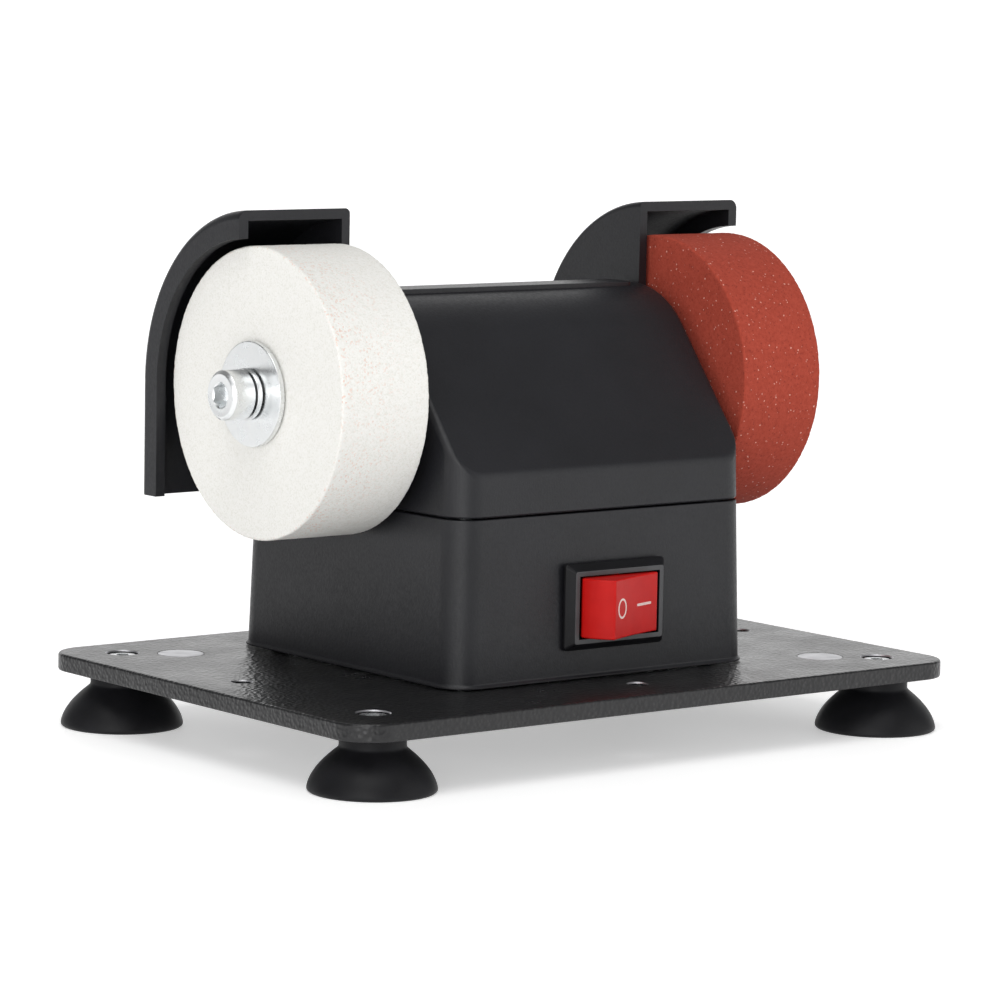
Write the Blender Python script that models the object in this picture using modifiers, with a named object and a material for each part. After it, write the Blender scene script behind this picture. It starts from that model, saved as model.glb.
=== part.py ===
"""Mini bench grinder: twin 50 mm wheels on a double-shaft DC motor, on a suction-cup base plate.

X runs along the motor shaft (white wheel at -X, red wheel at +X), -Y is the switch side, +Z is up.
The origin is on the bench under the middle of the base plate.  All sizes are in metres.
"""
import math

import bmesh
import bpy
from mathutils import Matrix, Vector

MM = 0.001

# ---- clearances -------------------------------------------------------------------------------
MATE = 0.3 * MM            # gap between two pieces that touch or run in each other
SINK = 1.0 * MM            # how far a cutter runs past the face it opens

# ---- base plate and feet ----------------------------------------------------------------------
PLATE_L = 132.6 * MM
PLATE_W = 94.4 * MM
PLATE_T = 3.1 * MM
PLATE_R = 7.0 * MM
PLATE_BEVEL = 0.3 * MM
FOOT_H = 9.8 * MM
FOOT_R = 10.8 * MM
FOOT_NECK_R = 5.6 * MM
FOOT_NECK_H = 2.3 * MM
FOOT_HOLLOW = 2.4 * MM
FOOT_LIP = 1.1 * MM
FOOT_INSET_X = 10.1 * MM   # foot centre in from the plate's short edge
FOOT_INSET_Y = 10.1 * MM    # and in from its long edge
FOOT_SCREW_R = 1.5 * MM
FOOT_SCREW_LEN = 7.0 * MM
FOOT_SCREW_HEAD_R = 2.5 * MM
FOOT_SCREW_HEAD_H = 1.4 * MM
FOOT_SCREW_SUNK = 0.35 * MM    # head below the plate's top
BENCH_HOLE_R = 1.7 * MM
BENCH_HOLE_INSET = 9.9 * MM
DISC_R = 4.0 * MM
DISC_T = 1.2 * MM
DISC_INSET_X = 18.5 * MM
DISC_INSET_Y = 16.0 * MM

# ---- housing ----------------------------------------------------------------------------------
HOUSING_L = 66.0 * MM      # along the shaft, at the plate
HOUSING_W = 64.2 * MM
HOUSING_Y = 3.1 * MM       # the housing sits a little behind the plate's centre line
HOUSING_R = 5.2 * MM
WALL = 2.0 * MM
FLOOR = 2.2 * MM
DRAFT = 0.025             # wall lean, run per rise
FLARE = 0.4 * MM
FLARE_H = 1.0 * MM
LOWER_H = 28.9 * MM
CREASE_UP = 7.5 * MM       # the crease above the parting line
ROOF_DROP = 0.5 * MM       # arc centre below the shaft, on the housing's middle plane
RIB_W = 7.0 * MM           # raised band along the top
RIB_H = 0.45 * MM
RIB_END = 4.2 * MM         # where it stops, from each end
BOSS_R = 3.4 * MM
BOSS_INSET = 4.9 * MM
BOSS_UP = 7.6 * MM
CASE_SCREW_R = 1.5 * MM
CASE_HEAD_R = 2.8 * MM
CASE_HEAD_H = 2.0 * MM
SHAFT_UP = 48.85 * MM       # shaft above the plate's top
SHAFT_Y = 1.6 * MM

# ---- motor ------------------------------------------------------------------------------------
CAN_R = 13.0 * MM
CAN_CLEAR = 14.0 * MM       # housing end to the end of the motor can, at the plate
CAN_GAP = 2.0 * MM         # can to the inside of the roof, measured from the roof's own centre
CAN_T = 1.2 * MM
CAN_BOSS_R = 5.2 * MM
CAN_BOSS_L = 2.0 * MM
CAP_T = 3.0 * MM
BUSH_R = 3.6 * MM
BUSH_L = 3.0 * MM
SHAFT_R = 2.0 * MM
SHAFT_PAST = 0.7 * MM      # shaft end past the arbor's shoulder
MAGNET_T = 2.5 * MM
MAGNET_BACK = 8.0 * MM     # magnets from the can's brush end
MAGNET_FRONT = 4.0 * MM    # and from its other end
MAGNET_SPAN = 112.0        # degrees
AIR_GAP = 0.5 * MM
CORE_INSET = 3.0 * MM      # core in from the ends of the magnets
POLES = 3
NECK_W = 3.0 * MM
HUB_R = 3.9 * MM
SHOE_T = 1.9 * MM
SHOE_SPAN = 98.0           # degrees
COIL_T = 1.2 * MM
COMM_R = 3.3 * MM
COMM_L = 3.2 * MM
COMM_BACK = 1.5 * MM
BRUSH_W = 2.0 * MM
BRUSH_L = 7.0 * MM
TAB_W = 2.8 * MM
TAB_T = 0.5 * MM
TAB_OUT = 4.5 * MM
TAB_Z = 8.6 * MM
SADDLE_T = 3.0 * MM
SADDLE_INSET = 7.0 * MM     # saddle in from the end of the can
SADDLE_W = 18.0 * MM

# ---- arbors, wheels and their hardware --------------------------------------------------------
WHEEL_R = 25.0 * MM
WHEEL_T = 18.0 * MM
WHEEL_GAP = 0.9 * MM       # inner face to the guard's wall
WHEEL_BORE_R = 5.0 * MM
WHEEL_EDGE = 0.35 * MM
FLANGE_R = 9.0 * MM
FLANGE_T = 1.5 * MM
WASHER_T = 1.0 * MM
LOCK_R = 4.4 * MM          # split lock washer under the bolt head
LOCK_T = 0.9 * MM
LOCK_SLIT = 0.8 * MM
ARBOR_R = 6.0 * MM
ARBOR_GRIP = 10.6 * MM     # length that grips the shaft
BOLT_R = 2.5 * MM
BOLT_LEN = 16.0 * MM
BOLT_HEAD_R = 4.25 * MM
BOLT_HEAD_H = 4.5 * MM
BOLT_HEX = 4.0 * MM
BOLT_HEX_DEPTH = 2.5 * MM

# ---- guards -----------------------------------------------------------------------------------
GUARD_GAP = 4.2 * MM       # wheel rim to the inside of the band
GUARD_BAND = 1.8 * MM
GUARD_INNER_T = 1.7 * MM
GUARD_LIP_T = 1.9 * MM
GUARD_SIDE = 0.65 * MM     # wheel's outer face to the lip
GUARD_LIP = 4.8 * MM       # how far the lip reaches in
GUARD_ROUND_OUT = 1.6 * MM # rounding along the outer edge
GUARD_ROUND_IN = 1.0 * MM  # and along the edge by the housing
GUARD_FRONT = 1.8 * MM     # front edge behind the shaft
GUARD_DOWN = 20.2 * MM     # lower end below the shaft
GUARD_NOTCH_R = 10.2 * MM
GUARD_SCREW_R = 1.25 * MM
GUARD_SCREW_LEN = 6.0 * MM
GUARD_HEAD_R = 2.3 * MM
GUARD_SCREWS = ((13.6 * MM, -7.2 * MM), (4.2 * MM, 12.0 * MM))
GUARD_BOSS_R = 2.7 * MM
GUARD_BOSS_L = 6.2 * MM

# ---- switch and inlet -------------------------------------------------------------------------
SWITCH_X = 0.85 * MM
SWITCH_UP = 12.85 * MM      # centre above the plate's top
BEZEL_RIM_L = 1.7 * MM     # bezel past the switch body, at each end
BEZEL_RIM_H = 1.2 * MM     # and above and below
BEZEL_T = 1.9 * MM
BEZEL_BEVEL = 1.3 * MM
SWITCH_WALL_L = 0.4 * MM    # body wall past the rocker's room, at each end
SWITCH_WALL_H = 0.25 * MM   # and past its pins
SWITCH_BODY_D = 11.0 * MM
ROCKER_R = 8.6 * MM
ROCKER_FACE = 14.4 * MM
ROCKER_H = 10.3 * MM
ROCKER_DIP = 0.35 * MM
ROCKER_TILT = 20.0         # degrees each side of level
ROCKER_IN = 1.8 * MM       # pivot behind the bezel's front
ROCKER_PIN_R = 0.9 * MM
ROCKER_PIN_L = 0.6 * MM
SPADE_W = 4.8 * MM
SPADE_T = 0.8 * MM
SPADE_L = 7.0 * MM
SPADE_X = 4.5 * MM
JACK_X = 14.0 * MM
JACK_UP = 12.5 * MM
JACK_R = 3.9 * MM
JACK_L = 11.0 * MM
JACK_FLANGE_R = 5.6 * MM
JACK_FLANGE_T = 1.2 * MM
JACK_BORE_R = 2.85 * MM
JACK_BORE_D = 9.0 * MM
JACK_PIN_R = 1.05 * MM
JACK_NUT_AF = 10.0 * MM
JACK_NUT_T = 2.2 * MM
WIRE_R = 0.8 * MM

# ---- derived sizes and places -----------------------------------------------------------------
PLATE_TOP = FOOT_H + PLATE_T
BOX_Z = PLATE_TOP + MATE
PART_Z = PLATE_TOP + LOWER_H
UPPER_Z = PART_Z + MATE
CREASE_Z = PART_Z + CREASE_UP
AXIS = Vector((0.0, SHAFT_Y, PLATE_TOP + SHAFT_UP))
HX, HY = HOUSING_L / 2, HOUSING_W / 2
FOOT_X = PLATE_L / 2 - FOOT_INSET_X
FOOT_Y = PLATE_W / 2 - FOOT_INSET_Y
SEATS = [(sx * FOOT_X, sy * FOOT_Y) for sy in (-1, 1) for sx in (-1, 1)]


def wall_at(z, in_by=0.0):
    """Half length and half width of the drafted housing at height z, moved in by a distance."""
    lean = (z - BOX_Z) * DRAFT
    return HX - lean - in_by, HY - lean - in_by


ROOF_R = CAN_R + CAN_GAP + WALL
HALF_CAN = HX - CAN_CLEAR
MAGNET_X0, MAGNET_X1 = MAGNET_BACK - HALF_CAN, HALF_CAN - MAGNET_FRONT
CORE_X0, CORE_X1 = MAGNET_X0 + CORE_INSET, MAGNET_X1 - CORE_INSET
CORE_X = (CORE_X0 + CORE_X1) / 2
CORE_L = CORE_X1 - CORE_X0
SADDLE_X = HALF_CAN - SADDLE_INSET
GUARD_R = WHEEL_R + GUARD_GAP + GUARD_BAND
GUARD_IN = wall_at(AXIS.z - GUARD_DOWN)[0] + MATE
WHEEL_IN = GUARD_IN + GUARD_INNER_T + WHEEL_GAP
WHEEL_OUT = WHEEL_IN + WHEEL_T
GUARD_OUT = WHEEL_OUT + GUARD_SIDE + GUARD_LIP_T
FLANGE_X = WHEEL_IN - MATE - FLANGE_T
ARBOR_STEP = FLANGE_X - MATE
SHAFT_END = ARBOR_STEP + SHAFT_PAST
WASHER_X = WHEEL_OUT + MATE
LOCK_X = WASHER_X + WASHER_T + MATE
HEAD_X = LOCK_X + LOCK_T + MATE
SPIGOT_R = WHEEL_BORE_R - MATE
SWITCH_BODY_L = 2 * (ROCKER_R + MATE + SWITCH_WALL_L)
SWITCH_BODY_H = ROCKER_H + 2 * (MATE + ROCKER_PIN_L + SWITCH_WALL_H)
BEZEL_L = SWITCH_BODY_L + 2 * BEZEL_RIM_L
BEZEL_H = SWITCH_BODY_H + 2 * BEZEL_RIM_H


# ---- scene helpers ----------------------------------------------------------------------------
for old in list(bpy.data.objects):
    bpy.data.objects.remove(old, do_unlink=True)


def collection(name):
    made = bpy.data.collections.new(name)
    bpy.context.scene.collection.children.link(made)
    return made


PARTS = collection("mini_bench_grinder")
CUTTERS = collection("cutters")


def material(name, colour, roughness, metallic=0.0):
    mat = bpy.data.materials.new(name)
    mat.use_nodes = True
    bsdf = mat.node_tree.nodes["Principled BSDF"]
    bsdf.inputs["Base Color"].default_value = (*colour, 1.0)
    bsdf.inputs["Roughness"].default_value = roughness
    bsdf.inputs["Metallic"].default_value = metallic
    return mat


PLASTIC = material("satin_black_plastic", (0.022, 0.022, 0.024), 0.45)
PLATE_BLACK = material("textured_black_plate", (0.025, 0.025, 0.027), 0.5)
RUBBER = material("black_rubber", (0.015, 0.015, 0.015), 0.7)
ZINC = material("zinc_steel", (0.62, 0.64, 0.66), 0.28, 1.0)
BLACK_STEEL = material("black_steel", (0.05, 0.05, 0.055), 0.4, 0.6)
STEEL = material("machined_steel", (0.55, 0.55, 0.56), 0.35, 1.0)
WHITE_GRIT = material("white_abrasive", (0.86, 0.84, 0.80), 0.95)
RED_GRIT = material("red_abrasive", (0.42, 0.09, 0.05), 0.95)
RED_GLOSS = material("red_rocker", (0.75, 0.03, 0.02), 0.25)
SWITCH_BLACK = material("switch_black", (0.03, 0.03, 0.03), 0.3)
CAN_METAL = material("motor_can_steel", (0.5, 0.5, 0.5), 0.4, 1.0)
COPPER = material("enamelled_copper", (0.72, 0.28, 0.12), 0.35, 1.0)
BRASS = material("brass", (0.78, 0.58, 0.25), 0.35, 1.0)
FERRITE = material("ferrite", (0.08, 0.08, 0.085), 0.6)
CARBON = material("carbon_brush", (0.05, 0.05, 0.05), 0.6)
CAP_WHITE = material("nylon_cap", (0.75, 0.74, 0.70), 0.5)
DISC_GREY = material("plain_steel_disc", (0.45, 0.45, 0.46), 0.4, 1.0)
WIRE_RED = material("wire_red", (0.6, 0.02, 0.02), 0.45)
WIRE_BLACK = material("wire_black", (0.02, 0.02, 0.02), 0.45)


def finish(name, bm, mat=None, where=PARTS, place=None):
    bmesh.ops.remove_doubles(bm, verts=bm.verts, dist=1e-7)
    bmesh.ops.recalc_face_normals(bm, faces=bm.faces)
    mesh = bpy.data.meshes.new(name)
    bm.to_mesh(mesh)
    bm.free()
    if place is not None:
        mesh.transform(place)
    obj = bpy.data.objects.new(name, mesh)
    where.objects.link(obj)
    if mat is not None:
        mesh.materials.append(mat)
    else:
        obj.hide_render = True
        obj.display_type = "WIRE"
    return obj


def smooth(obj, angle=30.0):
    obj.data.shade_smooth()
    obj.data.set_sharp_from_angle(angle=math.radians(angle))
    return obj


# Local frames: a prism is drawn in XY and rises along Z; these turn it to another direction.
ALONG_X = Matrix(((0, 0, 1, 0), (1, 0, 0, 0), (0, 1, 0, 0), (0, 0, 0, 1)))    # (u, v, w) -> (w, u, v)
ALONG_Y = Matrix(((1, 0, 0, 0), (0, 0, -1, 0), (0, 1, 0, 0), (0, 0, 0, 1)))   # (u, v, w) -> (u, -w, v)


def rounded_rect(hx, hy, r, steps=6, centre=(0.0, 0.0)):
    r = min(r, hx * 0.98, hy * 0.98)
    points = []
    for quarter, (sx, sy) in enumerate(((1, 1), (-1, 1), (-1, -1), (1, -1))):
        for i in range(steps + 1):
            a = math.radians(90 * quarter + 90 * i / steps)
            points.append((centre[0] + sx * (hx - r) + r * math.cos(a),
                           centre[1] + sy * (hy - r) + r * math.sin(a)))
    return points


def ring(r, steps, centre=(0.0, 0.0), start=0.0):
    return [(centre[0] + r * math.cos(start + 2 * math.pi * i / steps),
             centre[1] + r * math.sin(start + 2 * math.pi * i / steps)) for i in range(steps)]


def rect(x0, x1, y0, y1):
    return [(x0, y0), (x1, y0), (x1, y1), (x0, y1)]


def arc(r, a0, a1, steps, centre=(0.0, 0.0)):
    return [(centre[0] + r * math.cos(math.radians(a0 + (a1 - a0) * i / steps)),
             centre[1] + r * math.sin(math.radians(a0 + (a1 - a0) * i / steps))) for i in range(steps + 1)]


def stack(name, levels, mat=None, where=PARTS, place=None):
    """A solid that rises through levels of (outline, height); the outlines share one point count."""
    bm = bmesh.new()
    outline, z = levels[0]
    verts = [bm.verts.new((x, y, z)) for x, y in outline]
    face = bm.faces.new(verts)
    for rise, (outline, z) in enumerate(levels[1:]):
        out = bmesh.ops.extrude_face_region(bm, geom=[face])
        new_face = [g for g in out["geom"] if isinstance(g, bmesh.types.BMFace)][0]
        if rise:
            bmesh.ops.delete(bm, geom=[face], context="FACES_ONLY")
        order = {}
        for loop in new_face.loops:
            near = min(range(len(verts)), key=lambda k: (verts[k].co - loop.vert.co).length_squared)
            order[near] = loop.vert
        verts = [order[k] for k in range(len(verts))]
        for vert, (x, y) in zip(verts, outline):
            vert.co = (x, y, z)
        face = new_face
    return finish(name, bm, mat, where, place)


def prism(name, outline, z0, z1, mat=None, where=PARTS, place=None):
    return stack(name, [(outline, z0), (outline, z1)], mat, where, place)


def turned(name, profile, steps, mat=None, where=PARTS, place=None):
    """A turned piece: the closed profile of (radius, height) runs down its outer side."""
    bm = bmesh.new()
    verts = [bm.verts.new((r, 0.0, z)) for r, z in profile]
    closed = profile[0][0] > 1e-9 or profile[-1][0] > 1e-9
    for a, b in zip(verts, verts[1:] + (verts[:1] if closed else [])):
        bm.edges.new((a, b))
    mesh = bpy.data.meshes.new(name)
    bm.to_mesh(mesh)
    bm.free()
    obj = bpy.data.objects.new(name, mesh)
    where.objects.link(obj)
    screw = obj.modifiers.new("Turn", "SCREW")
    screw.axis = "Z"
    screw.angle = 2 * math.pi
    screw.steps = steps
    screw.render_steps = steps
    screw.use_merge_vertices = True
    screw.merge_threshold = 1e-6
    screw.use_smooth_shade = True
    if mat is not None:
        mesh.materials.append(mat)
    else:
        obj.hide_render = True
        obj.display_type = "WIRE"
    if place is not None:
        obj.matrix_world = place
    return obj


def boolean(obj, other, operation="DIFFERENCE"):
    mod = obj.modifiers.new(other.name, "BOOLEAN")
    mod.operation = operation
    mod.solver = "EXACT"
    mod.object = other
    return obj


def cut(obj, *cutters):
    for cutter in cutters:
        boolean(obj, cutter, "DIFFERENCE")
    return obj


def at(x, y, z):
    return Matrix.Translation((x, y, z))


def on_shaft(x, side=1):
    """Local +Z of a turned piece points out along the shaft on the given side, from distance x."""
    turn = Matrix.Rotation(math.radians(90.0 * side), 4, "Y")
    return Matrix.Translation(AXIS + Vector((side * x, 0, 0))) @ turn


def cyl(name, r, z0, z1, steps, mat=None, where=CUTTERS, place=None):
    return prism(name, ring(r, steps), z0, z1, mat, where, place)


# ---- base plate, feet, discs ------------------------------------------------------------------
def build_base():
    hx, hy, b = PLATE_L / 2, PLATE_W / 2, PLATE_BEVEL
    full = rounded_rect(hx, hy, PLATE_R, 6)
    top = rounded_rect(hx - b, hy - b, PLATE_R - b, 6)
    plate = stack("base_plate", [(full, FOOT_H), (full, PLATE_TOP - b), (top, PLATE_TOP)], PLATE_BLACK)
    low, high = FOOT_H - SINK, PLATE_TOP + SINK
    for i, (x, y) in enumerate(SEATS):
        cut(plate, cyl("cut_foot_%d" % i, FOOT_SCREW_R + MATE, low, high, 16, place=at(x, y, 0)),
            cyl("cut_foot_head_%d" % i, FOOT_SCREW_HEAD_R + MATE, PLATE_TOP - FOOT_SCREW_SUNK - FOOT_SCREW_HEAD_H
                - MATE, high, 16, place=at(x, y, 0)))
    bench = ((hx - BENCH_HOLE_INSET, 0), (BENCH_HOLE_INSET - hx, 0),
             (0, hy - BENCH_HOLE_INSET), (0, BENCH_HOLE_INSET - hy))
    for i, (x, y) in enumerate(bench):
        cut(plate, cyl("cut_bench_%d" % i, BENCH_HOLE_R, low, high, 16, place=at(x, y, 0)))
    for i, (x, y) in enumerate(case_spots()):
        cut(plate, cyl("cut_case_%d" % i, CASE_SCREW_R + MATE, low, high, 16, place=at(x, y, 0)))
    for i, (x, y) in enumerate(((DISC_INSET_X - hx, hy - DISC_INSET_Y), (hx - DISC_INSET_X, DISC_INSET_Y - hy))):
        cut(plate, cyl("cut_disc_%d" % i, DISC_R + MATE, PLATE_TOP - DISC_T - MATE, high, 24,
                       place=at(x, y, 0)))
        side = ("left", "right")[i]
        prism("plate_disc_" + side, ring(DISC_R, 24), PLATE_TOP - DISC_T, PLATE_TOP, DISC_GREY,
              place=at(x, y, 0))


def case_spots():
    hx, hy = wall_at(PART_Z)
    return [(sx * (hx - BOSS_INSET), HOUSING_Y + sy * (hy - BOSS_INSET)) for sy in (-1, 1) for sx in (-1, 1)]


def build_feet():
    top = FOOT_H - MATE
    neck = top - FOOT_NECK_H
    dome = [(FOOT_NECK_R, top), (FOOT_NECK_R, neck)]
    lip = FOOT_LIP * 0.6
    start, end = Vector((FOOT_NECK_R, neck)), Vector((FOOT_R, lip))
    bulge = Vector((FOOT_NECK_R + 0.9 * (FOOT_R - FOOT_NECK_R), neck - 0.54 * (neck - lip)))
    for i in range(1, 6):
        t = i / 5
        dome.append(tuple((1 - t) ** 2 * start + 2 * t * (1 - t) * bulge + t * t * end))
    dome += [(FOOT_R - 0.2 * MM, 0.0), (FOOT_R - FOOT_LIP, 0.0)]
    inner = FOOT_R - FOOT_LIP
    for i in range(1, 4):
        a = math.radians(90.0 * i / 4)
        dome.append((inner * math.cos(a), FOOT_HOLLOW * math.sin(a)))
    socket = FOOT_SCREW_R + MATE
    head, head_top = FOOT_SCREW_HEAD_H, PLATE_TOP - FOOT_SCREW_SUNK
    bottom = head_top - head - FOOT_SCREW_LEN - MATE
    dome += [(0.0, FOOT_HOLLOW), (0.0, bottom), (socket, bottom), (socket, top)]
    screw = [(0.0, head_top), (FOOT_SCREW_HEAD_R, head_top), (FOOT_SCREW_HEAD_R, head_top - head),
             (FOOT_SCREW_R, head_top - head), (FOOT_SCREW_R, bottom + MATE), (0.0, bottom + MATE)]
    names = ("front_left", "front_right", "rear_left", "rear_right")
    for name, (x, y) in zip(names, SEATS):
        turned("suction_cup_" + name, dome, 20, RUBBER, place=at(x, y, 0))
        bolt = turned("foot_screw_" + name, screw, 12, ZINC, place=at(x, y, 0))
        slot = head_top - head * 0.5
        cut(bolt, prism("cut_recess_" + name, ring(1.0 * MM, 6), slot, PLATE_TOP + SINK,
                        where=CUTTERS, place=at(x, y, 0)))


# ---- housing ----------------------------------------------------------------------------------
def box_levels(heights, in_by=0.0, flare=0.0):
    levels = []
    for k, z in enumerate(heights):
        hx, hy = wall_at(z, in_by)
        extra = flare if flare and k < 2 else 0.0
        outline = rounded_rect(hx + extra, hy + extra, HOUSING_R - in_by + extra, 6, (0, HOUSING_Y))
        levels.append((outline, z))
    return levels


def can_cutter(name):
    return cyl(name, CAN_R + MATE, -HALF_CAN - CAN_BOSS_L - 1.5 * MM, HALF_CAN + CAN_BOSS_L + 1.5 * MM, 28,
               place=on_shaft(0))


def build_lower():
    top = PART_Z
    flare_top = BOX_Z + FLARE_H
    lower = stack("lower_housing", box_levels([BOX_Z, flare_top - 0.3 * MM, flare_top, top], 0.0, FLARE),
                  PLASTIC)
    cut(lower, stack("cut_lower_room", box_levels([BOX_Z + FLOOR, top + SINK], WALL), where=CUTTERS))
    saddle_top = AXIS.z - 0.8 * CAN_R
    for sx in (-1, 1):
        x = sx * SADDLE_X
        saddle = prism("saddle_%d" % sx, rect(x - SADDLE_T / 2, x + SADDLE_T / 2, SHAFT_Y - SADDLE_W / 2,
                                              SHAFT_Y + SADDLE_W / 2), BOX_Z + FLOOR / 2, saddle_top,
                       where=CUTTERS)
        boolean(lower, saddle, "UNION")
    for i, (x, y) in enumerate(case_spots()):
        boolean(lower, cyl("boss_low_%d" % i, BOSS_R, BOX_Z + FLOOR / 2, top, 20, place=at(x, y, 0)), "UNION")
        cut(lower, cyl("bore_low_%d" % i, CASE_SCREW_R + MATE, BOX_Z - SINK, top + SINK, 16, place=at(x, y, 0)))
    cut(lower, can_cutter("cut_can_low"))
    z = PLATE_TOP + SWITCH_UP
    front = HOUSING_Y - HY
    cut(lower, prism("cut_switch", rect(SWITCH_X - SWITCH_BODY_L / 2 - MATE, SWITCH_X + SWITCH_BODY_L / 2 + MATE,
                                        front - SINK, front + WALL + 2 * SINK),
                     z - SWITCH_BODY_H / 2 - MATE, z + SWITCH_BODY_H / 2 + MATE, where=CUTTERS))
    rear = HOUSING_Y + HY
    cut(lower, cyl("cut_jack", JACK_R + MATE, -rear - SINK, -(rear - WALL - 2 * SINK), 24,
                   place=at(JACK_X, 0, PLATE_TOP + JACK_UP) @ ALONG_Y))
    return lower


def roof_outline(in_by):
    """The end profile in (y, z): up to the crease, then a slope that meets the roof arc."""
    hy = wall_at(CREASE_Z, in_by)[1]
    r = ROOF_R - in_by
    centre_z = AXIS.z - ROOF_DROP
    crease_z = CREASE_Z - in_by * 0.5
    dist = math.hypot(hy, crease_z - centre_z)
    a1 = math.atan2(crease_z - centre_z, hy) + math.acos(r / dist)     # where the slope meets the arc
    wide = 0.0 if in_by else 2 * SINK              # the outer form runs past the walls it trims
    lean = math.tan(a1) if abs(a1) > 1e-6 else 1e-6
    low = UPPER_Z - 2 * SINK
    side = [(hy + wide, low), (hy + wide, crease_z - wide / lean)]
    roof = arc(r, math.degrees(a1), 180.0 - math.degrees(a1), 16, (0.0, centre_z))
    points = [(-hy - wide, low)] + side + roof + [(-hy - wide, crease_z - wide / lean)]
    return [(HOUSING_Y + y, z) for y, z in points]


def build_upper():
    crown = AXIS.z - ROOF_DROP + ROOF_R
    top = crown + 3 * SINK
    ends = wall_at(CREASE_Z)[0]
    levels = box_levels([UPPER_Z, CREASE_Z], 0.0)
    hx, hy = wall_at(CREASE_Z)
    levels.append((rounded_rect(hx, hy, HOUSING_R, 6, (0, HOUSING_Y)), top))
    upper = stack("upper_housing", levels, PLASTIC)
    boolean(upper, prism("roof_form", roof_outline(0.0), -ends - 3 * SINK, ends + 3 * SINK, where=CUTTERS,
                         place=ALONG_X), "INTERSECT")
    rib = rounded_rect(ends - RIB_END, RIB_W / 2, 1.0 * MM, 3, (0, HOUSING_Y))
    boolean(upper, prism("top_rib", rib, crown - WALL / 2, crown + RIB_H, where=CUTTERS), "UNION")
    room = stack("cut_upper_room", box_levels([UPPER_Z - SINK, CREASE_Z], WALL)
                 + [(rounded_rect(hx - WALL, hy - WALL, HOUSING_R - WALL, 6, (0, HOUSING_Y)), top)],
                 where=CUTTERS)
    boolean(room, prism("room_form", roof_outline(WALL), -ends, ends, where=CUTTERS, place=ALONG_X),
            "INTERSECT")
    cut(upper, room)
    for i, (x, y) in enumerate(case_spots()):
        boolean(upper, cyl("boss_up_%d" % i, BOSS_R - 0.2 * MM, UPPER_Z, UPPER_Z + BOSS_UP, 20,
                           place=at(x, y, 0)), "UNION")
        cut(upper, cyl("bore_up_%d" % i, CASE_SCREW_R + MATE, UPPER_Z - SINK,
                       UPPER_Z + BOSS_UP - 1.2 * MM, 16, place=at(x, y, 0)))
    for side in (-1, 1):
        tag = "left" if side < 0 else "right"
        for k, (dy, dz) in enumerate(GUARD_SCREWS):
            spot = at(0, dy, dz) @ on_shaft(0, side)
            boolean(upper, cyl("boss_%s_%d" % (tag, k), GUARD_BOSS_R, ends - GUARD_BOSS_L, ends - WALL / 2, 16,
                               place=spot), "UNION")
            cut(upper, cyl("bore_%s_%d" % (tag, k), GUARD_SCREW_R + MATE, ends - GUARD_BOSS_L + 1.0 * MM,
                           ends + SINK, 12, place=spot))
        cut(upper, cyl("cut_arbor_" + tag, ARBOR_R + 1.0 * MM, ends - WALL - SINK, ends + SINK, 24,
                       place=on_shaft(0, side)))
    return upper


def build_case_screws():
    head_top = FOOT_H - MATE
    tip = UPPER_Z + BOSS_UP - 1.2 * MM - 2 * MATE
    profile = [(0.0, tip), (CASE_SCREW_R, tip), (CASE_SCREW_R, head_top), (CASE_HEAD_R, head_top),
               (CASE_HEAD_R, head_top - CASE_HEAD_H * 0.5), (CASE_HEAD_R * 0.6, head_top - CASE_HEAD_H),
               (0.0, head_top - CASE_HEAD_H)]
    names = ("front_left", "front_right", "rear_left", "rear_right")
    for name, (x, y) in zip(names, case_spots()):
        screw = turned("case_screw_" + name, profile, 12, ZINC, place=at(x, y, 0))
        low = head_top - CASE_HEAD_H
        cut(screw, prism("cut_cross_" + name, ring(1.0 * MM, 6), low - SINK, low + CASE_HEAD_H * 0.5,
                         where=CUTTERS, place=at(x, y, 0)))


# ---- guards -----------------------------------------------------------------------------------
def guard_outline(r, front, down):
    """Rear upper quadrant about the shaft in (y, z), carried straight down to the lower end."""
    y, z = AXIS.y, AXIS.z
    a0 = math.degrees(math.acos(front / r))
    points = [(y + front, z - down)] + [(y + r, z - down)] + arc(r, 0.0, a0, 22, (y, z))
    return points


def guard_levels(side):
    """Outlines along the shaft, with both long edges of the band rounded."""
    levels = []
    for k in range(4):
        a = math.radians(90.0 * k / 3)
        drop, run = GUARD_ROUND_OUT * (1 - math.sin(a)), GUARD_ROUND_OUT * (1 - math.cos(a))
        levels.append((GUARD_R - drop, GUARD_OUT - run))
    for k in range(3):
        a = math.radians(90.0 - 90.0 * k / 2)
        drop, run = GUARD_ROUND_IN * (1 - math.sin(a)), GUARD_ROUND_IN * (1 - math.cos(a))
        levels.append((GUARD_R - drop, GUARD_IN + run))
    outlines = [(guard_outline(r, GUARD_FRONT, GUARD_DOWN), side * x) for r, x in levels]
    return sorted(outlines, key=lambda level: level[1])


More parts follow.
